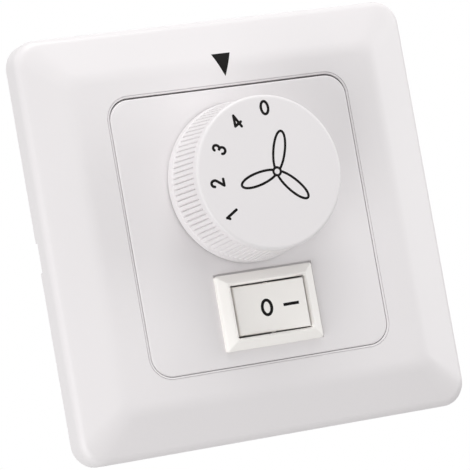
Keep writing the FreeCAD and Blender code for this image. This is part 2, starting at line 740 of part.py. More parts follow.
def make_selector_cover():
    """Round front plate of the selector with twelve detent dimples on its rear face."""
    dimple_y = SELECTOR_COVER_THICK + DETENT_BALL_R - DETENT_DEPTH
    dimple = Part.makeSphere(DETENT_BALL_R, Vector(0, dimple_y, KNOB_Z + DETENT_TRACK_R))
    cutters = [around(dimple, i * 360 / DETENT_PLACES, 0, KNOB_Z) for i in range(DETENT_PLACES)]
    cutters.append(disc(BUSHING_R + BUSHING_GAP, -CUT, SELECTOR_COVER_THICK + CUT, 0, KNOB_Z))
    cutters += rivet_holes(0, SELECTOR_COVER_THICK)
    return cut_all(selector_plate(0, SELECTOR_COVER_THICK), cutters)


def make_selector_rivet(side):
    """Rivet through cover and housing, with its head behind."""
    x = side * ear_x
    return fused([disc(RIVET_R, 0, selector_floor_back, x, KNOB_Z),
                  disc(RIVET_HEAD_R, selector_floor_back, selector_floor_back + RIVET_HEAD_THICK, x, KNOB_Z)])


def make_selector_housing():
    """Round plastic case of the selector, with the rear bearing of the shaft."""
    back = selector_floor_back + CUT
    cutters = [disc(SELECTOR_R - SELECTOR_WALL, 0, selector_floor_front, 0, KNOB_Z),
               disc(SHAFT_TAIL_R + SHAFT_BORE_GAP, 0, back, 0, KNOB_Z)]
    cutters += [disc(PIN_R + THREAD_GAP, 0, back, x, z) for x, z in contact_places()]
    cutters += rivet_holes(SELECTOR_COVER_THICK, selector_floor_back)
    return cut_all(selector_plate(SELECTOR_COVER_THICK, selector_floor_back), cutters)


def make_speed_contact(x, z):
    """Contact button on the selector's floor with its pin to the board."""
    pad = disc(CONTACT_PAD_R, selector_floor_front - CONTACT_PAD_RISE, selector_floor_front, x, z)
    return fused([pad, disc(PIN_R, selector_floor_front, pin_end, x, z)])


def make_selector_bushing():
    """Threaded brass bushing that carries the shaft and clamps selector and panel."""
    flange_back = SELECTOR_COVER_THICK + BUSHING_FLANGE_THICK
    bore = SHAFT_R + SHAFT_BORE_GAP
    return turned([(bore, bushing_front), (BUSHING_R - BUSHING_CHAMFER, bushing_front),
                   (BUSHING_R, bushing_front + BUSHING_CHAMFER), (BUSHING_R, SELECTOR_COVER_THICK),
                   (BUSHING_FLANGE_R, SELECTOR_COVER_THICK), (BUSHING_FLANGE_R, flange_back),
                   (bore, flange_back)], 0, KNOB_Z)


def make_bushing_nut(front, back):
    """Thin hexagon nut on the bushing, its front corners turned off."""
    nut = hexagon(nut_corner_r, front, back, 0, KNOB_Z)
    turning = turned([(0, front), (nut_corner_r - NUT_CHAMFER, front), (nut_corner_r, front + NUT_CHAMFER),
                      (nut_corner_r, back), (0, back)], 0, KNOB_Z)
    return nut.common(turning).cut(disc(BUSHING_R + THREAD_GAP, front - CUT, back + CUT, 0, KNOB_Z))


def make_panel_washer():
    """Flat washer between the panel and its nut."""
    front = panel_front - WASHER_THICK
    washer = disc(WASHER_R, front, panel_front, 0, KNOB_Z)
    return washer.cut(disc(BUSHING_R + BUSHING_GAP, front - CUT, 0, 0, KNOB_Z))


def make_shaft():
    """Selector shaft: flatted for the knob, grooved for the ring, with a thin tail."""
    drive_front = rotor_front - ROTOR_HUB_RISE
    shaft = fused([d_bar(SHAFT_R, SHAFT_FLAT, shaft_front, hub_bottom, KNOB_Z),
                   disc(SHAFT_R, hub_bottom, drive_front, 0, KNOB_Z),
                   d_bar(SHAFT_R, SHAFT_FLAT, drive_front, rotor_back, KNOB_Z),
                   disc(SHAFT_TAIL_R, rotor_back, selector_floor_back + SHAFT_TAIL_OUT, 0, KNOB_Z)])
    groove_front = ring_front - GROOVE_GAP
    groove_back = ring_front + RING_THICK + GROOVE_GAP
    groove = disc(SHAFT_R + CUT, groove_front, groove_back, 0, KNOB_Z)
    return shaft.cut(groove.cut(disc(GROOVE_R, groove_front - CUT, groove_back + CUT, 0, KNOB_Z)))


def make_retaining_ring():
    """Open ring in the shaft's groove, in front of the bushing."""
    back = ring_front + RING_THICK
    opening_height = RING_OUTER_R - RING_OPENING_TOP + CUT
    bore = disc(GROOVE_R + THREAD_GAP, ring_front - CUT, back + CUT, 0, KNOB_Z)
    opening = block(RING_OPENING, opening_height, ring_front - CUT, back + CUT,
                    0, KNOB_Z - RING_OPENING_TOP - opening_height / 2)
    return cut_all(disc(RING_OUTER_R, ring_front, back, 0, KNOB_Z), [bore, opening])


def make_rotor():
    """Plastic rotor with a blind bore for the detent ball and a flatted bore."""
    hub_front = rotor_front - ROTOR_HUB_RISE
    rotor = fused([disc(ROTOR_R, rotor_front, rotor_back, 0, KNOB_Z),
                   disc(ROTOR_HUB_R, hub_front, rotor_front, 0, KNOB_Z)])
    shaft_bore = d_bar(SHAFT_R + THREAD_GAP, SHAFT_FLAT + THREAD_GAP, hub_front - CUT, rotor_back + CUT,
                       KNOB_Z)
    ball_bore = disc(DETENT_BORE_R, rotor_front - CUT, rotor_front + DETENT_BORE_DEPTH,
                     0, KNOB_Z + DETENT_TRACK_R)
    return cut_all(rotor, [shaft_bore, ball_bore])


def make_detent_ball():
    """Steel ball of the detent, against the cover's dimples."""
    centre_y = SELECTOR_COVER_THICK + DETENT_BALL_GAP + DETENT_BALL_R
    return Part.makeSphere(DETENT_BALL_R, Vector(0, centre_y, KNOB_Z + DETENT_TRACK_R))


def make_detent_spring():
    """Small coil that presses the detent ball forward."""
    front = SELECTOR_COVER_THICK + DETENT_BALL_GAP + 2 * DETENT_BALL_R + SPRING_END_GAP
    back = rotor_front + DETENT_BORE_DEPTH - SPRING_END_GAP
    radius = DETENT_BORE_R - DETENT_WIRE_R - DETENT_SPRING_GAP
    return coil(radius, DETENT_WIRE_R, front, back, DETENT_SPRING_TURNS, 0, KNOB_Z + DETENT_TRACK_R)


def make_wiper():
    """Brass wiper on the rotor's rear, with a pressed dimple that meets the speed contacts."""
    back = rotor_back + WIPER_THICK
    dimple_back = selector_floor_front - CONTACT_PAD_RISE - CONTACT_GAP
    tip_z = KNOB_Z - CONTACT_TRACK_R
    arm = block(WIPER_WIDTH, CONTACT_TRACK_R, rotor_back, back, 0, (KNOB_Z + tip_z) / 2)
    dimple = turned([(0, back), (WIPER_DIMPLE_R, back), (WIPER_TIP_R, dimple_back), (0, dimple_back)],
                    0, tip_z)
    wiper = fused([disc(ROTOR_HUB_R, rotor_back, back, 0, KNOB_Z), arm,
                   disc(WIPER_WIDTH / 2, rotor_back, back, 0, tip_z), dimple])
    return wiper.cut(disc(SHAFT_R + BUSHING_GAP, rotor_back - CUT, back + CUT, 0, KNOB_Z))


def rib_ring(front, back, front_r, back_r):
    """Band of fine axial ribs, tapering from back to front."""
    wires = []
    for y, tip in ((back, back_r), (front, front_r)):
        points = []
        for i in range(2 * KNOB_RIB_COUNT):
            a = math.pi * i / KNOB_RIB_COUNT
            r = tip - (i % 2) * KNOB_RIB_DEPTH
            points.append(Vector(r * math.cos(a), y, KNOB_Z + r * math.sin(a)))
        wires.append(Part.makePolygon(points + points[:1]))
    band = Part.makeLoft(wires, True, True)
    return band.cut(disc(front_r - KNOB_WALL / 2, front - CUT, back + CUT, 0, KNOB_Z))


def make_knob():
    """Knob: flange, ribbed grip and rounded face outside, hub, slits and webs inside."""
    flange_r = KNOB_BASE_R - KNOB_FLANGE_DRAFT
    tip_back = flange_r - KNOB_RIB_STEP
    valley = KNOB_RIB_DEPTH + KNOB_RIB_STEP
    inner_front = knob_top_r - KNOB_WALL
    skin = turned([(0, knob_face), (knob_top_r, knob_face), (knob_top_r, knob_rib_front),
                   (knob_top_r - valley, knob_rib_front), (tip_back - valley, knob_rib_back),
                   (flange_r, knob_rib_back), (KNOB_BASE_R, knob_bottom),
                   (KNOB_BASE_R - KNOB_WALL, knob_bottom), (inner_front, knob_cavity), (0, knob_cavity)],
                  0, KNOB_Z)
    rim = max(edges_at(skin, knob_face), key=lambda edge: edge.Length)
    skin = skin.makeFillet(KNOB_EDGE_R, [rim])
    root = knob_cavity - JOIN
    hub = disc(KNOB_HUB_R, root, hub_bottom, 0, KNOB_Z)
    web = span_block(KNOB_HUB_R / 2, inner_front + JOIN, KNOB_WEB, root, knob_cavity + KNOB_WEB_DEPTH, KNOB_Z)
    webs = [around(web, i * 360 / KNOB_WEB_COUNT, 0, KNOB_Z) for i in range(KNOB_WEB_COUNT)]
    grip = rib_ring(knob_rib_front, knob_rib_back, knob_top_r - KNOB_RIB_STEP / 2, tip_back)
    bore = d_bar(SHAFT_R + SHAFT_BORE_GAP, SHAFT_FLAT + SHAFT_BORE_GAP, shaft_front - SHAFT_TIP_GAP,
                 hub_bottom + CUT, KNOB_Z)
    slit_front = hub_bottom - CLIP_END_GAP - CLIP_WIDTH - HUB_SLIT_RUN
    slit = block(2 * (KNOB_HUB_R + CUT), HUB_SLIT, slit_front, hub_bottom + CUT, 0, KNOB_Z)
    return cut_all(fused([skin, grip, hub] + webs), [bore, slit])


def make_knob_clip():
    """Open spring band that tightens the slit hub on the shaft."""
    inner = KNOB_HUB_R + CLIP_GAP
    back = hub_bottom - CLIP_END_GAP
    front = back - CLIP_WIDTH
    bore = disc(inner, front - CUT, back + CUT, 0, KNOB_Z)
    opening_top = KNOB_Z - inner / 2
    opening = block(CLIP_OPENING, inner, front - CUT, back + CUT, 0, opening_top - inner / 2)
    return cut_all(disc(inner + CLIP_THICK, front, back, 0, KNOB_Z), [bore, opening])


def bezel_form():
    """Outer form of the bezel: a low edge, bevelled faces and a raised lip round the window."""
    lip_w = window_width + 2 * BEZEL_LIP
    lip_h = window_height + 2 * BEZEL_LIP
    lip_front = panel_front - BEZEL_RISE
    edge_front = panel_front - BEZEL_EDGE
    levels = [(bezel_width, bezel_height, BEZEL_CORNER_R, panel_front),
              (bezel_width, bezel_height, BEZEL_CORNER_R, edge_front),
              (bezel_width - 2 * BEZEL_BEVEL, bezel_height - 2 * BEZEL_BEVEL,
               BEZEL_CORNER_R - BEZEL_BEVEL / 2, edge_front - BEZEL_BEVEL),
              (lip_w + 2 * BEZEL_LIP_RUN, lip_h + 2 * BEZEL_LIP_RUN, BEZEL_LIP_R, lip_front + BEZEL_LIP_DROP),
              (lip_w, lip_h, BEZEL_LIP_R, lip_front)]
    return stack([level + (bezel_x, ROCKER_Z) for level in levels])


def switch_wing(side):
    """Snap wing on one side of the switch body, thickest just behind the panel."""
    edge = ROCKER_X + side * switch_width / 2
    front = panel_back + WING_GAP
    low = ROCKER_Z - WING_HEIGHT / 2
    face = polygon_face([Vector(edge - side * WING_ROOT, front, low),
                         Vector(edge + side * WING_OUT, front, low),
                         Vector(edge + side * WING_OUT, front + WING_STEP, low),
                         Vector(edge - side * WING_ROOT, front + WING_LENGTH, low)])
    return face.extrude(Vector(0, 0, WING_HEIGHT))


def make_rocker_housing():
    """Snap-in switch case: bevelled bezel, body with wings, floor with pin holes."""
    body = block(switch_width, switch_height, panel_front, switch_back, ROCKER_X, ROCKER_Z)
    case = fused([bezel_form(), body] + [switch_wing(s) for s in (-1, 1)])
    lip_front = panel_front - BEZEL_RISE
    room = block(switch_width - 2 * SWITCH_WALL, switch_height - 2 * SWITCH_WALL,
                 panel_front, switch_floor_front, ROCKER_X, ROCKER_Z)
    flare = stack([(window_width, window_height, WINDOW_CORNER_R, lip_front + WINDOW_FLARE_DEPTH,
                    bezel_x, ROCKER_Z),
                   (window_width + 2 * WINDOW_FLARE, window_height + 2 * WINDOW_FLARE, BEZEL_LIP_R,
                    lip_front, bezel_x, ROCKER_Z)])
    window = rounded_block(window_width, window_height, WINDOW_CORNER_R, lip_front - CUT,
                           panel_front + JOIN, bezel_x, ROCKER_Z)
    reach = BUTTON_HEIGHT / 2 + PIVOT_LENGTH + PIVOT_END_GAP
    pivot_bore = rod(PIVOT_R + PIVOT_GAP, 2 * reach, Vector(ROCKER_X, pivot_y, ROCKER_Z - reach), UP)
    case = cut_all(case, [room, flare, window, pivot_bore])
    stop = block(STOP_WIDTH, STOP_HEIGHT, fixed_contact_front, switch_floor_front + JOIN,
                 ROCKER_X - CONTACT_ARM, ROCKER_Z)
    holes = [disc(PIN_R + THREAD_GAP, fixed_contact_front - CUT, switch_back + CUT, x, ROCKER_Z)
             for x in (ROCKER_X, contact_x)]
    return cut_all(fused([case, stop]), holes)


def tilt_rocker(shape):
    """Turn a piece of the rocker from its level position to the rest position."""
    copy = shape.copy()
    copy.rotate(Vector(ROCKER_X, pivot_y, 0), UP, -ROCKER_TILT_DEG)
    return copy


def button_form():
    """Rocker body from one profile: a dished face, round ends and a flat underside."""
    low = ROCKER_Z - BUTTON_HEIGHT / 2
    back = pivot_y + BUTTON_SKIRT
    brow = math.sqrt(BUTTON_END_R ** 2 - BUTTON_TOP ** 2)
    foot = math.sqrt(BUTTON_END_R ** 2 - BUTTON_SKIRT ** 2)
    right = [Vector(ROCKER_X + brow, button_top, low), Vector(ROCKER_X + BUTTON_END_R, pivot_y, low),
             Vector(ROCKER_X + foot, back, low)]
    left = [Vector(2 * ROCKER_X - p.x, p.y, low) for p in reversed(right)]
    dish = Part.Arc(left[2], Vector(ROCKER_X, button_top + BUTTON_SAG, low), right[0]).toShape()
    outline = [dish, Part.Arc(*right).toShape(), Part.makeLine(right[2], left[0]), Part.Arc(*left).toShape()]
    body = Part.Face(Part.Wire(outline)).extrude(Vector(0, 0, BUTTON_HEIGHT))
    rim = [e for e in body.Edges if e.BoundBox.YMax < button_top + BUTTON_SAG + JOIN]
    return body.makeFillet(BUTTON_EDGE_R, rim)


def make_rocker_button():
    """Dished rocker with pivot pins at its long sides and a stem for the plunger."""
    dish_low = button_top + BUTTON_SAG
    hollow = block(2 * (BUTTON_END_R - BUTTON_END_WALL), BUTTON_HEIGHT - 2 * BUTTON_WALL,
                   dish_low + BUTTON_WALL, pivot_y + BUTTON_SKIRT + CUT, ROCKER_X, ROCKER_Z)
    stem_back = pivot_y + STEM_LENGTH
    stem = disc(STEM_R, dish_low + STEM_ROOT, stem_back, ROCKER_X, ROCKER_Z)
    pin_length = PIVOT_LENGTH + BUTTON_WALL / 2
    pins = []
    for start in (-BUTTON_HEIGHT / 2 - PIVOT_LENGTH, BUTTON_HEIGHT / 2 - BUTTON_WALL / 2):
        pins.append(rod(PIVOT_R, pin_length, Vector(ROCKER_X, pivot_y, ROCKER_Z + start), UP))
    button = fused([button_form().cut(hollow), stem] + pins)
    bore_front = plunger_front - PLUNGER_SPRING_LENGTH - PLUNGER_BORE_ROOM
    bore = disc(PLUNGER_R + PLUNGER_GAP, bore_front, stem_back + CUT, ROCKER_X, ROCKER_Z)
    return tilt_rocker(button.cut(bore))


def make_plunger():
    """Round-nosed plunger that slides in the rocker's stem and presses on the lever."""
    pin = disc(PLUNGER_R, plunger_front, plunger_back, ROCKER_X, ROCKER_Z)
    return tilt_rocker(pin.makeFillet(PLUNGER_NOSE_R, edges_at(pin, plunger_back)))


def make_plunger_spring():
    """Coil between the stem's end and the plunger."""
    back = plunger_front - SPRING_END_GAP
    radius = PLUNGER_R - PLUNGER_WIRE_R - PLUNGER_SPRING_GAP
    spring = coil(radius, PLUNGER_WIRE_R, back - PLUNGER_SPRING_LENGTH, back, PLUNGER_SPRING_TURNS,
                  ROCKER_X, ROCKER_Z)
    return tilt_rocker(spring)


def make_contact_lever():
    """Brass see-saw with a groove over the fulcrum and a contact rivet at one end."""
    strip = block(LEVER_LENGTH, LEVER_WIDTH, lever_front, lever_back, ROCKER_X, ROCKER_Z)
    rivet = disc(RIVET_CONTACT_R, lever_back - LEVER_THICK / 2, lever_back + RIVET_CONTACT_RISE,
                 contact_x, ROCKER_Z)
    groove = rod(FULCRUM_R + LEVER_GAP, LEVER_WIDTH + 2 * CUT,
                 Vector(ROCKER_X, lever_back, ROCKER_Z - LEVER_WIDTH / 2 - CUT), UP)
    lever = fused([strip, rivet]).cut(groove)
    lever.rotate(Vector(ROCKER_X, lever_back, 0), UP, LEVER_TILT_DEG)
    return lever


def make_common_terminal():
    """Upright terminal whose rounded edge is the lever's fulcrum."""
    width = LEVER_WIDTH - 2 * FULCRUM_INSET
    web = block(2 * FULCRUM_R, width, lever_back, switch_floor_front, ROCKER_X, ROCKER_Z)
    crest = rod(FULCRUM_R, width, Vector(ROCKER_X, lever_back, ROCKER_Z - width / 2), UP)
    return fused([web, crest, disc(PIN_R, switch_floor_front, pin_end, ROCKER_X, ROCKER_Z)])


def make_contact_terminal():
    """Fixed contact under the lever's rivet, with its pin to the board."""
    pad = disc(RIVET_CONTACT_R + FIXED_CONTACT_MARGIN, fixed_contact_front, switch_floor_front,
               contact_x, ROCKER_Z)
    return fused([pad, disc(PIN_R, switch_floor_front, pin_end, contact_x, ROCKER_Z)])


def group(shapes):
    """Like pieces kept as separate solids in one sub-part."""
    return Part.makeCompound(shapes)


washer_front = panel_front - WASHER_THICK
parts = {
    "cover_frame": make_cover_frame(),
    "centre_panel": make_centre_panel(),
    "support_plate": make_support_plate(),
    "housing_screws": group([make_screw(x, z) for x, z in screw_places()]),
    "back_housing": make_back_housing(),
    "circuit_board": make_circuit_board(),
    "large_capacitor": make_capacitor(LARGE_CAP_WIDTH, LARGE_CAP_DEPTH, LARGE_CAP_HEIGHT, LARGE_CAP_Z),
    "small_capacitor": make_capacitor(SMALL_CAP_WIDTH, SMALL_CAP_DEPTH, SMALL_CAP_HEIGHT, small_cap_z),
    "bleed_resistors": group([make_resistor(s) for s in (-1, 1)]),
    "terminal_block": make_terminal_block(),
    "wire_clamps": group([make_wire_clamp(x) for x in terminal_places()]),
    "terminal_screws": group([make_terminal_screw(x) for x in terminal_places()]),
    "selector_cover": make_selector_cover(),
    "selector_housing": make_selector_housing(),
    "selector_rivets": group([make_selector_rivet(s) for s in (-1, 1)]),
    "speed_contacts": group([make_speed_contact(x, z) for x, z in contact_places()]),
    "selector_bushing": make_selector_bushing(),
    "selector_nut": make_bushing_nut(plate_front - NUT_THICK, plate_front),
    "panel_washer": make_panel_washer(),
    "panel_nut": make_bushing_nut(washer_front - NUT_THICK, washer_front),
    "selector_shaft": make_shaft(),
    "retaining_ring": make_retaining_ring(),
    "selector_rotor": make_rotor(),
    "wiper_contact": make_wiper(),
    "detent_ball": make_detent_ball(),
    "detent_spring": make_detent_spring(),
    "knob": make_knob(),
    "knob_clip": make_knob_clip(),
    "rocker_housing": make_rocker_housing(),
    "rocker_button": make_rocker_button(),
    "rocker_plunger": make_plunger(),
    "plunger_spring": make_plunger_spring(),
    "contact_lever": make_contact_lever(),
    "common_terminal": make_common_terminal(),
    "contact_terminal": make_contact_terminal(),
}

os.makedirs("parts", exist_ok=True)
for name, shape in parts.items():
    shape.exportStep("parts/" + name + ".step")
    print(name, shape.isValid(), len(shape.Solids), round(shape.Volume, 2), len(shape.Faces))
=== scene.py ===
"""Dresses the solids of a wall-mounted fan speed switch: cover frame, ribbed knob with its
printed dial, rocker switch and the mechanism behind them, with finishes, light and camera."""

import json
import math

import bmesh
import bpy
from bpy.props import FloatProperty, FloatVectorProperty, IntProperty, PointerProperty
from bpy.types import NodeSocket, Operator, Panel, PropertyGroup
from mathutils import Matrix, Vector
from mathutils.geometry import delaunay_2d_cdt


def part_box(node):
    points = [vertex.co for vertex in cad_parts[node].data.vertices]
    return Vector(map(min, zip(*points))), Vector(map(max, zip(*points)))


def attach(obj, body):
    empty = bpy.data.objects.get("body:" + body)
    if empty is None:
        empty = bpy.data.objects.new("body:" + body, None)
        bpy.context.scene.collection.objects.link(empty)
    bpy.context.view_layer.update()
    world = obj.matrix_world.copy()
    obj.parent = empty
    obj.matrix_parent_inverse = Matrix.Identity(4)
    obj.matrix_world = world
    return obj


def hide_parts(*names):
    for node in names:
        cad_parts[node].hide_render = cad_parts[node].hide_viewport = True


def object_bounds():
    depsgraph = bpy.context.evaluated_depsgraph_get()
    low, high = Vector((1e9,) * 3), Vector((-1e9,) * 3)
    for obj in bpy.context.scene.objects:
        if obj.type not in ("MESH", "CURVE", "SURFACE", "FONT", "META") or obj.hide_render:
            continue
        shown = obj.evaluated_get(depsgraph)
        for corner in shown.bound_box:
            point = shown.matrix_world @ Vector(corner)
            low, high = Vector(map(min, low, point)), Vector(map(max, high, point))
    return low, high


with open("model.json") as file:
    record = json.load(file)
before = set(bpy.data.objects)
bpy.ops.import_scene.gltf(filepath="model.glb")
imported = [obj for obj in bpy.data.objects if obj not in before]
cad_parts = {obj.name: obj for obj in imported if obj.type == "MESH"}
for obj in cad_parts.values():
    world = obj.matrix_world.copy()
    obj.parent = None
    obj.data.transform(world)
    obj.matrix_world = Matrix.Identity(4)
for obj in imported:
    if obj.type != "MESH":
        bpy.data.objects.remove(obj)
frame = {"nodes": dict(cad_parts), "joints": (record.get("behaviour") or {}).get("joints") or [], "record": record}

bl_info = {
    "name": "Fan Speed Switch",
    "version": (1, 0, 0),
    "blender": (4, 5, 0),
    "location": "3D View > Sidebar > Fan switch",
    "description": "Builds the visible pieces and finishes of a wall-mounted fan speed switch",
    "category": "Object",
}

MM = 0.001
cad_low, cad_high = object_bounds()
cover_low, cover_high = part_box("cover_frame")
panel_low, panel_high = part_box("centre_panel")
knob_low, knob_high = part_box("knob")
bezel_low, bezel_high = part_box("rocker_housing")
button_low, button_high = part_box("rocker_button")
joints = {joint["name"]: joint for joint in frame["joints"]}
knob_axis = Vector(joints["knob_turn"]["pos_m"])
rocker_axis = Vector(joints["rocker_tilt"]["pos_m"])

SHARP_EDGE = math.radians(32.0)  # smooth shading stops at edges sharper than this
OVERLAP = 0.3 * MM  # how far posts and webs run into the walls that they meet
SUNK = 0.2 * MM  # how far ribs and webs reach into the knob's body
PRINT_ROOT = 3  # how many times deeper than proud a print sits


def length(label, text, size_mm):
    """A length property given in millimetres."""
    return FloatProperty(name=label, description=text, default=size_mm * MM, unit="LENGTH", precision=5)


def angle(label, text, degrees):
    """An angle property given in degrees."""
    return FloatProperty(name=label, description=text, default=math.radians(degrees), unit="ROTATION")


def colour(label, text, value):
    """A colour property."""
    return FloatVectorProperty(name=label, description=text, default=value, size=3, subtype="COLOR",
                               min=0.0, max=1.0)


def number(label, text, value):
    """A property without a unit, such as a share or a strength."""
    return FloatProperty(name=label, description=text, default=value)


def direction(label, text, value, subtype="XYZ"):
    """A direction or place."""
    return FloatVectorProperty(name=label, description=text, default=value, subtype=subtype)


class FanSwitchCover(PropertyGroup):
    """Sizes of the cover frame, its pointer and the seam in the centre panel."""
    corner_r: length("Outer corner", "Radius of the outer corners", 5.0)
    flat_corner_r: length("Inner corner", "Radius of the corners of the flat band", 2.2)
    skirt: length("Skirt", "Height of the upright skirt", 4.3)
    edge_r: length("Edge", "Rounding between skirt and slope", 2.1)
    slope: angle("Slope", "Angle of the sloping band", 18.0)
    brow_r: length("Brow", "Rounding between slope and flat band", 10.0)
    wall: length("Wall", "Thickness of the moulding", 2.0)
    panel_gap: length("Panel gap", "Gap beside and below the centre panel", 0.1)
    panel_drop: length("Panel drop", "How much wider the gap above the panel is, which sits low", 0.22)
    panel_corner_r: length("Panel corner", "Corner radius of the centre panel", 4.4)
    panel_thick: length("Panel thickness", "Depth of the step that carries the panel", 2.0)
    ledge: length("Ledge", "Width of the ledge under the panel", 1.6)
    ledge_thick: length("Ledge thickness", "Thickness of the ledge", 1.5)
    ledge_web: length("Ledge web", "Wall round the step", 1.7)
    lip: length("Lip", "Width of the narrow band round the opening", 0.34)
    lip_drop: length("Lip drop", "How far that band falls", 0.06)
    groove: length("Groove", "Width of the fine groove outside that band", 0.13)
    groove_depth: length("Groove depth", "Depth of that groove", 0.22)
    seam_top: length("Seam above", "Width of the seam above the rocker's bezel", 0.46)
    seam_side: length("Seam beside", "Width of the seam to the right of the bezel", 0.5)
    seam_depth: length("Seam depth", "Depth of that seam", 0.5)
    notch_length: length("Notch length", "Length of the pry notch", 6.0)
    notch_height: length("Notch height", "Height of the pry notch", 1.0)
    notch_rise: length("Notch rise", "Length of the steep end of the pry notch", 0.02)
    post_r: length("Post", "Radius of the four posts", 1.6)
    post_out: length("Post distance", "Distance of the posts from the opening", 4.0)
    post_end: length("Post end", "Height of the posts' ends above the wall", 1.2)
    pointer_x: length("Pointer centre", "Place of the pointer triangle", 0.23)
    pointer_low: length("Pointer tip", "Height of the triangle's tip over the centre", 30.66)
    pointer_high: length("Pointer top", "Height of the triangle's top side", 35.5)
    pointer_width: length("Pointer width", "Width of the triangle", 4.15)


class FanSwitchKnob(PropertyGroup):
    """Sizes of the knob."""
    flange: length("Flange", "Height of the smooth flange", 2.05)
    draft: length("Draft", "How much the flange draws in", 0.12)
    taper: length("Taper", "How much smaller the front is than the base", 0.88)
    edge_r: length("Edge", "Depth of the front edge's rounding", 0.55)
    edge_width: length("Edge width", "Width of the front edge's rounding on the face", 0.75)
    soft: length("Soft edge", "Size of the small bevels at flange and collar", 0.12)
    collar: length("Collar", "Distance from the face to the ribs' ends", 2.1)
    rib_count: IntProperty(name="Ribs", description="Number of ribs", default=90, min=12)
    rib_depth: length("Rib depth", "Depth of the grooves between the ribs at the front", 0.38)
    rib_foot: length("Rib foot", "Depth of the grooves at the flange", 0.50)
    rib_land: number("Rib land", "Share of the pitch that is flat", 0.66)
    rib_step: length("Rib step", "How far the ribs stand back from flange and collar", 0.12)
    wall: length("Wall", "Thickness of the side wall", 2.1)
    face_thick: length("Face", "Thickness of the face", 1.6)
    hub_r: length("Hub", "Outer radius of the hub", 5.0)
    bore_r: length("Bore", "Radius of the hub's bore", 3.04)
    hub_end: length("Hub end", "Distance of the hub's end from the wall", 13.35)
    web_count: IntProperty(name="Webs", description="Number of webs under the face", default=6)
    web: length("Web", "Thickness of a web", 1.0)
    web_depth: length("Web depth", "Depth of a web under the face", 4.0)


class FanSwitchPrint(PropertyGroup):
    """Sizes of the marks printed on knob and rocker."""
    ink: length("Ink", "How far the print stands proud", 0.015)
    dial_x: length("Dial centre", "Sideways offset of the dial print from the knob's axis", 1.62)
    dial_z: length("Dial height", "Upward offset of the dial print from the knob's axis", -0.47)
    dial_r: length("Dial radius", "Radius of the circle of numbers", 13.15)
    zero_out: length("Zero place", "How much further out the zero stands", 0.2)
    dial_turn: angle("First number", "Angle of the zero", -1.5)
    digit_pitch: angle("Pitch", "Angle between two numbers", 30.0)
    digit_height: length("Digit height", "Height of a number", 3.2)
    digit_width: length("Digit width", "Width of a number", 1.90)
    digit_stroke: length("Digit stroke", "Stroke of a number", 0.55)
    fan_x: length("Fan place", "Sideways offset of the fan from the dial's centre", -0.05)
    fan_z: length("Fan height", "Upward offset of the fan from the dial's centre", 0.40)
    fan_stroke: length("Fan stroke", "Stroke of the fan pictogram", 0.50)
    fan_turn: angle("Fan angle", "Angle of the first blade", 16.5)
    fan_reach: length("Blade tip", "Distance of a blade's tip from the hub", 8.5)
    fan_width: length("Blade width", "Width of a blade", 3.0)
    fan_hub_r: length("Hub ring", "Radius of the ring in the middle", 0.8)
    oval_x: length("Oval place", "Offset of the oval from the rocker's middle", -0.8)
    oval_width: length("Oval width", "Width of the oval", 2.6)
    oval_height: length("Oval height", "Height of the oval", 3.6)
    oval_stroke: length("Oval stroke", "Stroke of the oval and the bar", 0.62)
    bar_x: length("Bar place", "Offset of the bar from the rocker's middle", 4.3)
    bar_length: length("Bar length", "Length of the bar", 3.2)


class FanSwitchRocker(PropertyGroup):
    """Sizes of the rocker."""
    end_r: length("End radius", "Radius of the rocker's ends about its pivot", 7.7)
    top: length("Top", "Height of the ends above the pivot", 1.9)
    sag: length("Sag", "Depth of the dish", 0.75)
    tilt: angle("Tilt", "Tilt at rest, left end in", 6.5)
    pin: length("Pin", "Length of the pins at the rocker's long sides", 1.4)
    side_out: length("Side", "How much nearer to the bezel the long sides stand than on the solid", 0.2)
    side_band: length("Side band", "Width of the band along each long side that moves with it", 0.45)
    lean: number("Lean", "Slant of the long sides, lower on the right", 0.012)
    # painted shade: this margin keeps the dark colour off the rocker's long sides, so it falls only on the pins
    clean: length("Shade margin", "Distance from the long sides to the grease on the pins", 0.14)


class FanSwitchColours(PropertyGroup):
    """Colours of the finishes."""
    white: colour("White", "Cover, panel and knob", (0.765, 0.740, 0.747))
    ivory: colour("Ivory", "Rocker switch", (0.930, 0.905, 0.875))
    ink: colour("Ink", "Printed marks", (0.006, 0.005, 0.005))
    # painted shade: a dark colour for the rocker's pins, which sit in the shade of the gap beside the bezel
    grease: colour("Grease", "Grease on the rocker's pins", (0.012, 0.011, 0.010))
    steel: colour("Steel", "Zinc-plated sheet", (0.60, 0.61, 0.62))
    bright: colour("Bright steel", "Nuts, screws and springs", (0.70, 0.71, 0.72))
    brass: colour("Brass", "Contacts and bushing", (0.72, 0.53, 0.24))
    grey: colour("Grey moulding", "Back housing", (0.075, 0.080, 0.090))
    black: colour("Black moulding", "Selector housing", (0.02, 0.02, 0.022))
    board: colour("Board", "Circuit board", (0.43, 0.27, 0.10))
    capacitor: colour("Capacitors", "Capacitors' cases", (0.70, 0.42, 0.05))
    resistor: colour("Resistors", "Lacquer of the resistors", (0.55, 0.42, 0.24))
    terminal: colour("Terminals", "Terminal block", (0.03, 0.14, 0.07))


class FanSwitchStage(PropertyGroup):
    """Camera and light."""
    lens: number("Lens", "Focal length in millimetres", 224.63)
    eye: direction("Camera", "Camera position", (-0.23721, -0.55196, -0.04211), "TRANSLATION")
    look: direction("Look", "Viewing direction", (0.39390, 0.91662, 0.06825))
    up: direction("Up", "Upward direction of the picture", (0.13333, -0.13045, 0.98245))
    sky: number("Sky", "Strength of the even light", 0.61)
    top_power: number("Top light", "Power in watts of the soft light above", 3.8)
    left_power: number("Left light", "Power in watts of the soft light low on the left", 3.7)
    right_power: number("Right light", "Power in watts of the soft light on the right", 2.1)
    floor_drop: length("Floor", "Distance of the floor below the frame", 650.0)
    floor_glow: number("Floor glow", "How much paler the floor looks than it lights the switch", 0.32)
    floor_bounce: colour("Floor bounce", "Colour in which the floor lights the switch",
                         (0.42, 0.42, 0.42))


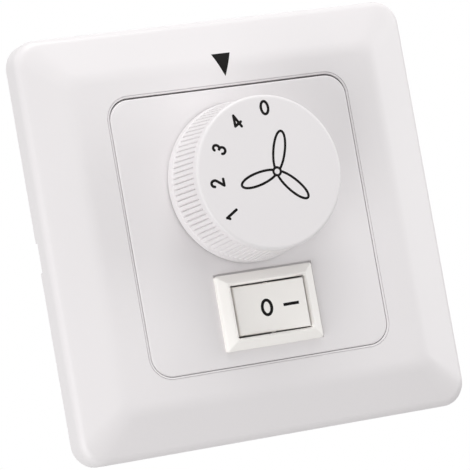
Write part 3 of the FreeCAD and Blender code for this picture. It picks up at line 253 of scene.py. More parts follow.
GROUPS = {
    "fan_switch_cover": FanSwitchCover,
    "fan_switch_knob": FanSwitchKnob,
    "fan_switch_print": FanSwitchPrint,
    "fan_switch_rocker": FanSwitchRocker,
    "fan_switch_colours": FanSwitchColours,
    "fan_switch_stage": FanSwitchStage,
}


def new_object(name, mesh, material=None):
    """A mesh object in the scene, all in one material where one is given."""
    piece = bpy.data.objects.new(name, mesh)
    bpy.context.scene.collection.objects.link(piece)
    if material:
        mesh.materials.clear()
        mesh.materials.append(material)
    return piece


def removed(piece):
    """Take an object and its mesh out of the file."""
    mesh = piece.data
    bpy.data.objects.remove(piece)
    bpy.data.meshes.remove(mesh)


def smooth(mesh):
    """Smooth shading with crisp edges."""
    mesh.shade_smooth()
    mesh.set_sharp_from_angle(angle=SHARP_EDGE)


def mesh_of(name, points, faces):
    """A clean closed mesh whose faces point outwards."""
    same_place = 0.0005 * MM
    mesh = bpy.data.meshes.new(name)
    mesh.from_pydata([tuple(p) for p in points], [], faces)
    shape = bmesh.new()
    shape.from_mesh(mesh)
    bmesh.ops.remove_doubles(shape, verts=shape.verts, dist=same_place)
    bmesh.ops.recalc_face_normals(shape, faces=shape.faces)
    if shape.calc_volume(signed=True) < 0:
        bmesh.ops.reverse_faces(shape, faces=shape.faces)
    shape.to_mesh(mesh)
    shape.free()
    smooth(mesh)
    return mesh


def joined(name, meshes):
    """One mesh from several."""
    shape = bmesh.new()
    for mesh in meshes:
        shape.from_mesh(mesh)
        bpy.data.meshes.remove(mesh)
    whole = bpy.data.meshes.new(name)
    shape.to_mesh(whole)
    shape.free()
    smooth(whole)
    return whole


def lofted(name, loops, closed=False):
    """Closed surface through loops of points; the ends are capped unless the loops run in a ring."""
    points = [p for loop in loops for p in loop]
    count = len(loops[0])
    pairs = len(loops) if closed else len(loops) - 1
    faces = []
    for i in range(pairs):
        low = i * count
        high = (i + 1) % len(loops) * count
        for j in range(count):
            k = (j + 1) % count
            faces.append((low + j, low + k, high + k, high + j))
    if not closed:
        faces.append(tuple(range(count)))
        faces.append(tuple(range(len(points) - count, len(points))))
    return mesh_of(name, points, faces)


def turned(name, profile, centre, segments=240):
    """Solid of revolution about a line along Y; its (radius, y) points start and end on the line."""
    turns = [2 * math.pi * i / segments for i in range(segments)]
    return lofted(name, [[(centre.x + radius * math.cos(a), y, centre.z + radius * math.sin(a))
                          for a in turns] for radius, y in profile])


def solid_faces(node):
    """Faces of one of the solids, as its vertices' numbers."""
    return [tuple(face.vertices) for face in frame["nodes"][node].data.polygons]


def baked(name, piece):
    """Plain mesh of an evaluated object, which is removed."""
    evaluated = piece.evaluated_get(bpy.context.evaluated_depsgraph_get())
    mesh = bpy.data.meshes.new_from_object(evaluated)
    mesh.name = name
    removed(piece)
    return mesh


def fill(socket, value):
    """Link a socket to another one, or set it to a value."""
    if isinstance(value, NodeSocket):
        socket.id_data.links.new(value, socket)
    else:
        socket.default_value = value


def added(tree, kind, values):
    """New node with its named inputs filled."""
    node = tree.nodes.new(kind)
    for name, value in values.items():
        fill(node.inputs[name], value)
    return node


def calculated(operation, first, second=0.0):
    """Output of a math node on a socket and a second socket or number."""
    node = first.id_data.nodes.new("ShaderNodeMath")
    node.operation = operation
    fill(node.inputs[0], first)
    fill(node.inputs[1], second)
    return node.outputs[0]


def tinted(factor, first, second):
    """Output of a mix between two colours or sockets."""
    input_a, input_b, result = 6, 7, 2  # the mix node's sockets that carry colours
    node = added(factor.id_data, "ShaderNodeMix", {"Factor": factor})
    node.data_type = "RGBA"
    fill(node.inputs[input_a], first)
    fill(node.inputs[input_b], second)
    return node.outputs[result]


def noise(vector, scale, detail=2.0, stretch=(1.0, 1.0, 1.0)):
    """Noise texture on a vector, in features for each metre."""
    tree = vector.id_data
    mapped = added(tree, "ShaderNodeMapping", {"Vector": vector, "Scale": stretch}).outputs["Vector"]
    values = {"Vector": mapped, "Scale": scale, "Detail": detail}
    return added(tree, "ShaderNodeTexNoise", values).outputs["Fac"]


def ranged(value, low, high):
    """Value from 0 to 1 mapped to a range."""
    values = {"Value": value, "To Min": low, "To Max": high}
    return added(value.id_data, "ShaderNodeMapRange", values).outputs["Result"]


def clouded(place, base, scale, darker, lighter):
    """Colour with soft clouds between a darker and a lighter share of it."""
    tones = [(*[min(1.0, c * share) for c in base], 1) for share in (darker, lighter)]
    return tinted(noise(place, scale), *tones)


def bump(height, distance):
    """Normal with a bump."""
    values = {"Height": height, "Strength": 1.0, "Distance": distance}
    return added(height.id_data, "ShaderNodeBump", values).outputs["Normal"]


def object_place(tree):
    """Object coordinates in a material."""
    return tree.nodes.new("ShaderNodeTexCoord").outputs["Object"]


def shader(name):
    """New material with its shader's inputs and object coordinates."""
    material = bpy.data.materials.new(name)
    material.use_nodes = True
    tree = material.node_tree
    return material, tree.nodes["Principled BSDF"].inputs, object_place(tree)


def plastic(name, base, roughness, spread=0.012, grain=1600.0, relief=0.004 * MM, specular=0.5):
    """Moulded plastic: slight unevenness in colour and gloss, and a fine moulded grain."""
    made = bpy.data.materials.get(name)
    if made:
        return made
    uneven = 0.05  # change of the roughness both ways
    material, inputs, place = shader(name)
    fine = noise(place, grain, detail=3.0)
    fill(inputs["Specular IOR Level"], specular)
    fill(inputs["Base Color"], clouded(place, base, scale=60.0, darker=1 - spread, lighter=1 + spread))
    fill(inputs["Roughness"], ranged(fine, roughness - uneven, roughness + uneven))
    fill(inputs["Normal"], bump(fine, relief))
    return material


def metal(name, base, roughness, stretch):
    """Drawn or rolled metal with fine lines along one direction."""
    made = bpy.data.materials.get(name)
    if made:
        return made
    smoother, rougher = 0.08, 0.1
    material, inputs, place = shader(name)
    lines = noise(place, 900.0, detail=4.0, stretch=stretch)
    fill(inputs["Metallic"], 1.0)
    fill(inputs["Base Color"], clouded(place, base, scale=90.0, darker=0.88, lighter=1.06))
    fill(inputs["Roughness"], ranged(lines, roughness - smoother, roughness + rougher))
    fill(inputs["Normal"], bump(lines, distance=0.003 * MM))
    return material


def tone(key):
    """One of the colours that the user can change."""
    return getattr(bpy.context.scene.fan_switch_colours, key)


def white_plastic():
    """Semi-gloss white moulding of cover, panel and knob."""
    return plastic("white moulding", tone("white"), 0.36)


def ivory_plastic(name="ivory moulding"):
    """Warmer moulding of the rocker switch."""
    return plastic(name, tone("ivory"), 0.32)


def button_plastic():
    """Moulding of the rocker, with painted shade: its pins at the long sides are coloured dark and dull."""
    name = "ivory moulding, greased pins"
    made = bpy.data.materials.get(name)
    if made:
        return made
    material = ivory_plastic(name)
    tree = material.node_tree
    inputs = tree.nodes["Principled BSDF"].inputs
    sizes = bpy.context.scene.fan_switch_rocker
    side = (button_high.z - button_low.z) / 2 - sizes.pin + sizes.side_out
    height = added(tree, "ShaderNodeSeparateXYZ", {"Vector": object_place(tree)}).outputs["Z"]
    aside = calculated("ABSOLUTE", calculated("SUBTRACT", height, rocker_axis.z))
    # painted shade: the pins beyond the long sides are coloured dark and made dull, standing in for the shade of
    # the gap
    shaded = calculated("GREATER_THAN", aside, side + sizes.clean)
    body, gloss = (inputs[key].links[0].from_socket for key in ("Base Color", "Roughness"))
    fill(inputs["Base Color"], tinted(shaded, body, (*tone("grease"), 1)))
    dull = 0.9
    fill(inputs["Roughness"], calculated("MAXIMUM", gloss, calculated("MULTIPLY", shaded, dull)))
    return material


def black_ink():
    """Pad-printed black."""
    return plastic("black ink", tone("ink"), 0.6, spread=0.2, specular=0.12)


def grey_moulding():
    """Coarser grey moulding of the back housing."""
    return plastic("grey moulding", tone("grey"), 0.5, spread=0.08, grain=1200.0)


def black_moulding():
    """Black moulding of the selector."""
    return plastic("black moulding", tone("black"), 0.45, spread=0.1)


def laminate():
    """Phenolic board with paper fibres."""
    return plastic("board laminate", tone("board"), 0.5, spread=0.12, grain=500.0,
                   relief=0.01 * MM)


def capacitor_case():
    """Smooth box of a film capacitor."""
    return plastic("capacitor case", tone("capacitor"), 0.35, spread=0.03)


def resistor_lacquer():
    """Lacquer of a film resistor."""
    return plastic("resistor lacquer", tone("resistor"), 0.3, spread=0.06)


def terminal_body():
    """Dark green moulding of the terminal block."""
    return plastic("terminal body", tone("terminal"), 0.4, spread=0.06)


def steel():
    """Zinc-plated sheet."""
    return metal("plated steel", tone("steel"), 0.38, stretch=(1.0, 1.0, 12.0))


def bright_steel():
    """Turned bright steel."""
    return metal("bright steel", tone("bright"), 0.24, stretch=(1.0, 8.0, 1.0))


def brass():
    """Plain brass."""
    return metal("plain brass", tone("brass"), 0.3, stretch=(1.0, 6.0, 1.0))


FINISHES = {
    "white_cover": white_plastic,
    "ivory_switch": ivory_plastic,
    "grey_insulator": grey_moulding,
    "black_insulator": black_moulding,
    "steel": steel,
    "bright_steel": bright_steel,
    "brass": brass,
    "board": laminate,
    "capacitor_case": capacitor_case,
    "resistor_body": resistor_lacquer,
    "terminal_body": terminal_body,
}


class FANSWITCH_OT_finishes(Operator):
    """Give every solid the finish of its material"""
    bl_idname = "fanswitch.finishes"
    bl_label = "Finishes"

    def execute(self, context):
        slots = {part["node"]: part["material_slot"] for part in frame["record"]["subparts"]}
        for node, piece in frame["nodes"].items():
            piece.data.materials.clear()
            piece.data.materials.append(FINISHES[slots[node]]())
        return {"FINISHED"}


SIDE_SHARES = (0.1, 0.2, 0.3, 0.4, 0.6, 0.7, 0.8, 0.9)  # places of the points along a side
CORNER_STEPS = 12  # parts of the arc at a corner


def outline(half_x, half_z, radius, height, centre_z, shares):
    """Rounded rectangle at a height in front of the wall, counted from the right side upwards."""
    arcs = []
    for i, (sx, sz) in enumerate(((1, 1), (-1, 1), (-1, -1), (1, -1))):
        centre_x = sx * (half_x - radius)
        middle_z = centre_z + sz * (half_z - radius)
        turns = [math.pi / 2 * (i + step / CORNER_STEPS) for step in range(CORNER_STEPS + 1)]
        arcs.append([Vector((centre_x + radius * math.cos(a), -height, middle_z + radius * math.sin(a)))
                     for a in turns])
    points = []
    for arc, following in zip(arcs, arcs[1:] + arcs[:1]):
        points += arc
        points += [arc[-1].lerp(following[0], share) for share in shares]
    return points


def cover_levels(sizes, front):
    """Outer form of the cover as (distance in from the edge, height) pairs."""
    levels = [(0.0, 0.0), (0.0, sizes.skirt * 0.5), (0.0, sizes.skirt)]
    edge_steps = 10
    for i in range(1, edge_steps + 1):
        a = (math.pi / 2 - sizes.slope) * i / edge_steps
        levels.append((sizes.edge_r * (1 - math.cos(a)), sizes.skirt + sizes.edge_r * math.sin(a)))
    low_in, low_height = levels[-1]
    crest = low_in + (front - low_height) / math.tan(sizes.slope)
    flat = crest + sizes.brow_r * math.tan(sizes.slope / 2)
    start = flat - sizes.brow_r * math.sin(sizes.slope)
    rise = front - sizes.brow_r * (1 - math.cos(sizes.slope)) - low_height
    for share in (0.25, 0.5, 0.75):
        levels.append((low_in + (start - low_in) * share, low_height + rise * share))
    brow_steps = 8
    for i in range(brow_steps + 1):
        a = sizes.slope * (1 - i / brow_steps)
        levels.append((flat - sizes.brow_r * math.sin(a), front - sizes.brow_r * (1 - math.cos(a))))
    return levels


def cover_height(sizes, distance):
    """Height of the cover's face at a distance in from its edge."""
    levels = cover_levels(sizes, -cover_low.y)
    for (d0, h0), (d1, h1) in zip(levels, levels[1:]):
        if d0 <= distance <= d1 and d1 > d0:
            return h0 + (h1 - h0) * (distance - d0) / (d1 - d0)
    return levels[-1][1]


def cover_loops(sizes):
    """Loops of the cover frame, round its section from the skirt's foot and back."""
    half = cover_high.x
    front = -cover_low.y
    step = front - sizes.panel_thick
    straight = 2 * (half - sizes.corner_r)
    notch_half = sizes.notch_length / 2
    notch_out = notch_half + sizes.notch_rise
    notch = [0.5 + place / straight for place in (-notch_out, -notch_half, notch_half, notch_out)]
    shares = sorted((*SIDE_SHARES, *notch))
    levels = cover_levels(sizes, front)
    flat = levels[-1][0]
    least_r = 0.5 * MM
    opening_x = panel_high.x + sizes.panel_gap
    opening_z = (panel_high.z - panel_low.z + sizes.panel_drop) / 2 + sizes.panel_gap
    opening_middle = (panel_high.z + panel_low.z + sizes.panel_drop) / 2
    opening_r = sizes.panel_corner_r + sizes.panel_gap

    def frame_loop(distance, height, inset):
        radius = sizes.corner_r - (sizes.corner_r - sizes.flat_corner_r) * distance / flat
        size = half - distance - inset
        return outline(size, size, max(radius - inset, least_r), max(height - inset, 0.0), 0.0, shares)

    def opening_loop(grow, height):
        return outline(opening_x + grow, opening_z + grow, opening_r + grow, height, opening_middle, shares)

    opening = [
        # the groove, then the lip's soft fall in shares of its width and drop
        (sizes.lip + sizes.groove, front),
        (sizes.lip + sizes.groove * 0.7, front - sizes.groove_depth),
        (sizes.lip + sizes.groove * 0.3, front - sizes.groove_depth),
        (sizes.lip, front - sizes.lip_drop * 0.3),
        (sizes.lip * 0.2, front - sizes.lip_drop),
        (sizes.lip * 0.05, front - sizes.lip_drop * 2),
        (0.0, front - sizes.lip_drop * 4),
        # the step that carries the panel, and back under it
        (0.0, step),
        (-sizes.ledge, step),
        (-sizes.ledge, step - sizes.ledge_thick),
        (sizes.ledge_web, step - sizes.ledge_thick),
        (sizes.ledge_web, front - sizes.wall),
    ]
    loops = [frame_loop(distance, height, 0.0) for distance, height in levels]
    loops += [opening_loop(grow, height) for grow, height in opening]
    loops += [frame_loop(distance, height, sizes.wall) for distance, height in reversed(levels)]
    touch = 0.001 * MM
    for loop in (loops[0], loops[-1]):
        for p in loop:
            if p.x < 0 and abs(p.z) <= notch_half + touch:
                p.y = -sizes.notch_height
    return loops


def posts(sizes):
    """Four posts under the cover that stand on the plate."""
    top = -cover_low.y - sizes.wall + OVERLAP
    profile = [(0, -top), (sizes.post_r, -top), (sizes.post_r, -sizes.post_end), (0, -sizes.post_end)]
    made = []
    for sx in (-1, 1):
        for sz in (-1, 1):
            x = sx * (panel_high.x + sizes.panel_gap + sizes.post_out)
            z = (panel_high.z + panel_low.z) / 2
            z += sz * ((panel_high.z - panel_low.z) / 2 + sizes.panel_gap + sizes.post_out)
            made.append(turned("post", profile, Vector((x, 0, z)), segments=32))
    return made


def strip(path, stroke, closed):
    """Ribbon along a flat path as triangles, with round ends if it's open."""
    end_steps = 8
    count = len(path)
    left = []
    right = []
    for i, p in enumerate(path):
        before = path[i - 1] if closed or i > 0 else p
        after = path[(i + 1) % count] if closed or i < count - 1 else p
        along = (after - before).normalized()
        side = Vector((-along.y, along.x)) * stroke / 2
        left.append(p + side)
        right.append(p - side)
    polygons = []
    for i in range(count if closed else count - 1):
        j = (i + 1) % count
        for triangle in ([right[i], right[j], left[j]], [right[i], left[j], left[i]]):
            area = (triangle[1] - triangle[0]).cross(triangle[2] - triangle[0])
            polygons.append(triangle if area > 0 else triangle[::-1])
    if not closed:
        for end, other in ((path[0], path[1]), (path[-1], path[-2])):
            away = (end - other).normalized()
            start = math.atan2(away.y, away.x) - math.pi / 2
            turns = [start + math.pi * k / end_steps for k in range(end_steps + 1)]
            polygons.append([end + Vector((math.cos(a), math.sin(a))) * stroke / 2 for a in turns])
    return polygons


def arc_path(centre, half_x, half_y, start, end, steps):
    """Points along part of an ellipse, angles in degrees."""
    turns = [math.radians(start + (end - start) * i / steps) for i in range(steps + 1)]
    return [Vector((centre[0] + half_x * math.cos(a), centre[1] + half_y * math.sin(a))) for a in turns]


def ring_path(centre, half_x, half_y, count=24):
    """Points round a whole ellipse."""
    return arc_path(centre, half_x, half_y, 0, 360 - 360 / count, count - 1)


def inked(place, polygons):
    """Whether a place lies in one of some convex polygons, each given with its box."""
    for low_x, low_y, high_x, high_y, polygon in polygons:
        if low_x <= place.x <= high_x and low_y <= place.y <= high_y:
            if all((b - a).cross(place - a) >= 0 for a, b in zip(polygon, polygon[1:] + polygon[:1])):
                return True
    return False


def printed(name, polygons, surface, ink):
    """Thin closed print: polygons merged in their plane and laid on a surface function."""
    same_place = 1e-7
    corners = []
    faces = []
    boxed = []
    for polygon in polygons:
        faces.append(list(range(len(corners), len(corners) + len(polygon))))
        corners += polygon
        across = [p.x for p in polygon]
        upward = [p.y for p in polygon]
        boxed.append((min(across), min(upward), max(across), max(upward), polygon))
    flat, _, split, _, _, _ = delaunay_2d_cdt(corners, [], faces, 0, same_place)
    triangles = [t for t in split if inked((flat[t[0]] + flat[t[1]] + flat[t[2]]) / 3, boxed)]
    count = len(flat)
    points = [surface(p, ink) for p in flat] + [surface(p, -PRINT_ROOT * ink) for p in flat]
    sides = {}
    for triangle in triangles:
        for a, b in zip(triangle, triangle[1:] + triangle[:1]):
            if (b, a) in sides:
                del sides[(b, a)]
            else:
                sides[(a, b)] = True
    made = [tuple(t) for t in triangles] + [tuple(v + count for v in reversed(t)) for t in triangles]
    made += [(b, a, a + count, b + count) for a, b in sides]
    return mesh_of(name, points, made)


def pointer_mesh(sizes, ink):
    """The pointer triangle as a thin closed print that follows the cover, from its tip upwards."""
    rows = 16
    tip = 0.01  # the tip's width as a share of the top side's
    root = -PRINT_ROOT * ink
    loops = []
    for i in range(rows + 1):
        share = max(i / rows, tip)
        level = sizes.pointer_low + (sizes.pointer_high - sizes.pointer_low) * share
        height = cover_height(sizes, cover_high.z - level)
        left = sizes.pointer_x - sizes.pointer_width / 2 * share
        right = sizes.pointer_x + sizes.pointer_width / 2 * share
        section = ((left, ink), (right, ink), (right, root), (left, root))
        loops.append([Vector((x, -height - lift, level)) for x, lift in section])
    return lofted("pointer_mark", loops)


class FANSWITCH_OT_cover(Operator):
    """Build the cover frame with its soft edges, and the pointer printed on it"""
    bl_idname = "fanswitch.cover"
    bl_label = "Cover frame"

    def execute(self, context):
        sizes = context.scene.fan_switch_cover
        shell = lofted("cover_shell", cover_loops(sizes), closed=True)
        mesh = joined("cover_shell", [shell] + posts(sizes))
        cover = new_object("cover_shell", mesh, white_plastic())
        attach(cover, "wall_unit")
        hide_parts("cover_frame")
        mesh = pointer_mesh(sizes, context.scene.fan_switch_print.ink)
        pointer = new_object("pointer_mark", mesh, black_ink())
        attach(pointer, "wall_unit")
        return {"FINISHED"}


def seam_mesh(sizes):
    """Cutter for the seam in the panel along the top and right sides of the rocker's bezel."""
    under = 0.2 * MM  # how far it starts under the bezel
    left, right = bezel_low.x, bezel_high.x + sizes.seam_side
    low, high = bezel_low.z, bezel_high.z + sizes.seam_top
    corner_x = bezel_high.x - under
    corner_z = bezel_high.z - under
    corners = [(left, corner_z), (corner_x, corner_z), (corner_x, low), (right, low), (right, high),
               (left, high)]
    return lofted("seam", [[Vector((x, y, z)) for x, z in corners]
                           for y in (panel_low.y - MM, panel_low.y + sizes.seam_depth)])


class FANSWITCH_OT_panel(Operator):
    """Build the centre panel with the seam along the rocker's bezel"""
    bl_idname = "fanswitch.panel"
    bl_label = "Centre panel"

    def execute(self, context):
        points = [vertex.co for vertex in frame["nodes"]["centre_panel"].data.vertices]
        cutter = new_object("seam", seam_mesh(context.scene.fan_switch_cover))
        piece = new_object("panel_face", mesh_of("panel_face", points, solid_faces("centre_panel")))
        modifier = piece.modifiers.new("Seam", "BOOLEAN")
        modifier.operation = "DIFFERENCE"
        modifier.solver = "EXACT"
        modifier.object = cutter
        mesh = baked("panel_face", piece)
        removed(cutter)
        smooth(mesh)
        panel = new_object("panel_face", mesh, white_plastic())
        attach(panel, "wall_unit")
        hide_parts("centre_panel")
        return {"FINISHED"}


def pattern_tree():
    """Node tree that repeats the object's own mesh round a line along Y."""
    tree = bpy.data.node_groups.new("Ring pattern", "GeometryNodeTree")
    face = tree.interface
    for name, kind in (("Geometry", "Geometry"), ("Count", "Int"), ("Centre", "Vector"),
                       ("Finish", "Material")):
        face.new_socket(name, in_out="INPUT", socket_type="NodeSocket" + kind)
    face.new_socket("Geometry", in_out="OUTPUT", socket_type="NodeSocketGeometry")
    given = tree.nodes.new("NodeGroupInput").outputs
    line = added(tree, "GeometryNodeMeshLine", {"Count": given["Count"], "Offset": (0, 0, 0)})
    index = tree.nodes.new("GeometryNodeInputIndex").outputs[0]
    turn = calculated("MULTIPLY", calculated("DIVIDE", index, given["Count"]), 2 * math.pi)
    place = added(tree, "GeometryNodeInstanceOnPoints", {
        "Points": line.outputs["Mesh"], "Instance": given["Geometry"],
        "Rotation": added(tree, "ShaderNodeCombineXYZ", {"Y": turn}).outputs[0]})
    move = added(tree, "GeometryNodeTransform", {
        "Geometry": place.outputs["Instances"], "Translation": given["Centre"]})
    real = added(tree, "GeometryNodeRealizeInstances", {"Geometry": move.outputs["Geometry"]})
    finish = added(tree, "GeometryNodeSetMaterial", {
        "Geometry": real.outputs["Geometry"], "Material": given["Finish"]})
    added(tree, "NodeGroupOutput", {"Geometry": finish.outputs["Geometry"]})
    return tree


def set_inputs(modifier, values):
    """Set a node modifier's inputs by their sockets' identifiers."""
    for item in modifier.node_group.interface.items_tree:
        if item.item_type == "SOCKET" and item.in_out == "INPUT" and item.name in values:
            modifier[item.identifier] = values[item.name]


def ring_pattern(name, mesh, count, centre, finish):
    """Mesh repeated round the line along Y through centre."""
    piece = new_object(name, mesh)
    modifier = piece.modifiers.new("Pattern", "NODES")
    modifier.node_group = bpy.data.node_groups.get("Ring pattern") or pattern_tree()
    set_inputs(modifier, {"Count": count, "Centre": centre, "Finish": finish})
    return baked(name, piece)


def knob_face():
    """Y of the knob's face, which leaves room for the print inside the solid's box."""
    return knob_low.y + 2 * bpy.context.scene.fan_switch_print.ink


def knob_profile(sizes):
    """Section of the knob without ribs, from the middle of the face round to the bore's end."""
    face = knob_face()
    bottom = knob_high.y
    base_r = knob_high.x
    top_r = base_r - sizes.taper
    flange_r = base_r - sizes.draft
    rib_back = bottom - sizes.flange
    rib_front = face + sizes.collar
    soft = sizes.soft
    floor = 0.92  # the body fills the grooves from this share of the ribs' depth
    valley = sizes.rib_step + 0.02 * MM
    cavity = face + sizes.face_thick
    edge_steps = 12
    profile = [(0, face)]
    for i in range(edge_steps + 1):
        a = math.pi / 2 * i / edge_steps
        profile.append((top_r - sizes.edge_width * (1 - math.sin(a)),
                        face + sizes.edge_r * (1 - math.cos(a))))
    profile += [(top_r, rib_front - soft), (top_r - soft, rib_front),
                (top_r - valley - sizes.rib_depth * floor, rib_front + soft),
                (flange_r - valley - sizes.rib_foot * floor, rib_back - soft),
                (flange_r - soft, rib_back), (flange_r, rib_back + soft),
                (base_r, bottom), (base_r - sizes.wall, bottom),
                (top_r - sizes.wall, cavity), (sizes.hub_r, cavity), (sizes.hub_r, -sizes.hub_end),
                (sizes.bore_r, -sizes.hub_end), (sizes.bore_r, cavity), (0, cavity)]
    return profile


def rib_mesh(sizes):
    """One rib above the knob's axis: a flat land with sloping flanks, narrower towards the front."""
    base_r = knob_high.x - sizes.draft - sizes.rib_step
    top_r = knob_high.x - sizes.taper - sizes.rib_step
    back = knob_high.y - sizes.flange
    front = knob_low.y + sizes.collar
    crown = 0.84  # share of the land that the bevels leave flat
    bevel = 0.1  # share of the groove's depth that the bevels take
    loops = []
    for share in (0.0, 0.25, 0.5, 0.75, 1.0):
        tip = base_r + (top_r - base_r) * share
        pitch = 2 * math.pi * tip / sizes.rib_count
        land = pitch * sizes.rib_land / 2
        foot = pitch / 2
        depth = sizes.rib_foot + (sizes.rib_depth - sizes.rib_foot) * share
        root = depth + SUNK
        shoulder = tip - depth * bevel
        section = [(-foot, tip - root), (-foot, tip - depth), (-land, shoulder), (-land * crown, tip),
                   (land * crown, tip), (land, shoulder), (foot, tip - depth), (foot, tip - root)]
        y = back + (front - back) * share
        loops.append([Vector((x, y, z)) for x, z in section])
    return lofted("rib", loops)


def web_mesh(sizes):
    """One web under the knob's face."""
    cavity = knob_low.y + sizes.face_thick
    low = sizes.hub_r - OVERLAP
    high = knob_high.x - sizes.taper - sizes.wall + OVERLAP
    half = sizes.web / 2
    section = [(cavity - SUNK, -half), (cavity - SUNK, half), (cavity + sizes.web_depth, half),
               (cavity + sizes.web_depth, -half)]
    return lofted("web", [[Vector((x, y, z)) for y, z in section] for x in (low, high)])


class FANSWITCH_OT_knob(Operator):
    """Build the knob with its ribs"""
    bl_idname = "fanswitch.knob"
    bl_label = "Knob"

    def execute(self, context):
        sizes = context.scene.fan_switch_knob
        centre = Vector((knob_axis.x, 0, knob_axis.z))
        white = white_plastic()
        body = turned("knob_body", knob_profile(sizes), centre)
        ribs = ring_pattern("ribs", rib_mesh(sizes), sizes.rib_count, centre, white)
        webs = ring_pattern("webs", web_mesh(sizes), sizes.web_count, centre, white)
        knob = new_object("knob_grip", joined("knob_grip", [body, ribs, webs]), white)
        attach(knob, "knob_set")
        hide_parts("knob")
        return {"FINISHED"}


def line_path(*places):
    """Open path through places, as a (path, closed) pair."""
    return [Vector(place) for place in places], False


def digit_paths(digit):
    """Centre lines of a number in a box from -1 to 1 both ways, as (path, closed) pairs."""
    if digit == "0":
        return [(ring_path((0, 0), 1.15, 0.98), True)]
    if digit == "1":
        return [line_path((0.25, -1), (0.25, 1)), line_path((0.25, 0.98), (-0.14, 0.80), (-0.50, 0.70))]
    if digit == "2":
        bow = arc_path((0, 0.45), 0.93, 0.55, 170, -32, 14)
        return [line_path(*bow, (-0.95, -1)), line_path((-0.95, -1), (1, -1))]
    if digit == "3":
        return [(arc_path((-0.02, 0.5), 0.86, 0.5, 160, -90, 16), False),
                (arc_path((-0.02, -0.48), 0.96, 0.52, 90, -160, 16), False)]
    return [line_path((0.45, -1), (0.45, 1.03)), line_path((0.45, 1.03), (-1.15, -0.38)),
            line_path((-1.15, -0.38), (1.15, -0.38))]


def blade_path(sizes):
    """Outline of one fan blade, narrow at the hub and round at the tip."""
    near = sizes.fan_hub_r * 0.2
    far = sizes.fan_reach - sizes.fan_stroke / 2
    half = (sizes.fan_width - sizes.fan_stroke) / 2
    start = math.acos(1 - 2 * (sizes.fan_hub_r - near) / (far - near))
    slim, belly = 0.90, 0.17  # width at the hub, and how much is added up to the tip
    steps = 44
    path = []
    for i in range(steps + 1):
        a = start + (2 * math.pi - 2 * start) * i / steps
        along = 0.5 - 0.5 * math.cos(a)
        path.append(Vector((half * math.sin(a) * (slim + belly * along), near + (far - near) * along)))
    return path


def dial_polygons(sizes):
    """Polygons of the numbers and the fan pictogram in the plane of the knob's face."""
    half_x = (sizes.digit_width - sizes.digit_stroke) / 2
    half_y = (sizes.digit_height - sizes.digit_stroke) / 2
    polygons = []
    for i, digit in enumerate("04321"):
        a = sizes.dial_turn - i * sizes.digit_pitch
        out = sizes.dial_r + (sizes.zero_out if digit == "0" else 0)
        centre = Vector((math.sin(a), math.cos(a))) * out
        turn = Matrix.Rotation(-a, 2)
        for path, closed in digit_paths(digit):
            scaled = [centre + turn @ Vector((p.x * half_x, p.y * half_y)) for p in path]
            polygons += strip(scaled, sizes.digit_stroke, closed)
    middle = Vector((sizes.fan_x, sizes.fan_z))
    polygons += strip(ring_path(middle, sizes.fan_hub_r, sizes.fan_hub_r), sizes.fan_stroke, True)
    blade = blade_path(sizes)
    for i in range(3):
        turn = Matrix.Rotation(-(sizes.fan_turn + i * 2 * math.pi / 3), 2)
        polygons += strip([middle + turn @ p for p in blade], sizes.fan_stroke, False)
    return polygons


class FANSWITCH_OT_dial(Operator):
    """Print the numbers and the fan pictogram on the knob"""
    bl_idname = "fanswitch.dial"
    bl_label = "Dial print"

    def execute(self, context):
        sizes = context.scene.fan_switch_print
        face = knob_face()

        def on_face(p, lift):
            return Vector((knob_axis.x + sizes.dial_x + p.x, face - lift,
                           knob_axis.z + sizes.dial_z + p.y))

        mesh = printed("dial_print", dial_polygons(sizes), on_face, sizes.ink)
        dial = new_object("dial_print", mesh, black_ink())
        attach(dial, "knob_set")
        return {"FINISHED"}


def rocker_point(sizes, along, z, lift):
    """Point on the tilted rocker's face at a distance along it from the middle."""
    brow = math.sqrt(sizes.end_r ** 2 - sizes.top ** 2)
    dish_r = (brow ** 2 + sizes.sag ** 2) / (2 * sizes.sag)
    depth = -sizes.top + sizes.sag - (dish_r - math.sqrt(dish_r ** 2 - along ** 2)) - lift
    c = math.cos(-sizes.tilt)
    s = math.sin(-sizes.tilt)
    return Vector((rocker_axis.x + along * c - depth * s, rocker_axis.y + along * s + depth * c, z))


def rocker_mesh(sizes):
    """The rocker after its solid, with the long sides nearer to the bezel and the pins' ends in place."""
    half = (button_high.z - button_low.z) / 2 - sizes.pin
    touch = 0.01 * MM
    points = []
    for vertex in frame["nodes"]["rocker_button"].data.vertices:
        place = vertex.co.copy()
        aside = place.z - rocker_axis.z
        if half - sizes.side_band < abs(aside) < half + touch:
            place.z += math.copysign(sizes.side_out, aside) - sizes.lean * (place.x - rocker_axis.x)
        points.append(place)
    return mesh_of("rocker_cap", points, solid_faces("rocker_button"))


class FANSWITCH_OT_rocker(Operator):
    """Build the rocker close to its bezel"""
    bl_idname = "fanswitch.rocker"
    bl_label = "Rocker"

    def execute(self, context):
        mesh = rocker_mesh(context.scene.fan_switch_rocker)
        rocker = new_object("rocker_cap", mesh, button_plastic())
        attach(rocker, "rocker_set")
        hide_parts("rocker_button")
        return {"FINISHED"}


def mark_polygons(sizes):
    """Polygons of the oval and the bar in the plane of the rocker's face."""
    oval = ring_path((sizes.oval_x, 0), (sizes.oval_width - sizes.oval_stroke) / 2,
                     (sizes.oval_height - sizes.oval_stroke) / 2, 40)
    polygons = strip(oval, sizes.oval_stroke, True)
    parts = 6  # of the bar, so that it follows the dish
    low = sizes.bar_x - sizes.bar_length / 2
    half = sizes.oval_stroke / 2
    for i in range(parts):
        left = low + sizes.bar_length * i / parts
        right = low + sizes.bar_length * (i + 1) / parts
        corners = ((left, -half), (right, -half), (right, half), (left, half))
        polygons.append([Vector(corner) for corner in corners])
    return polygons


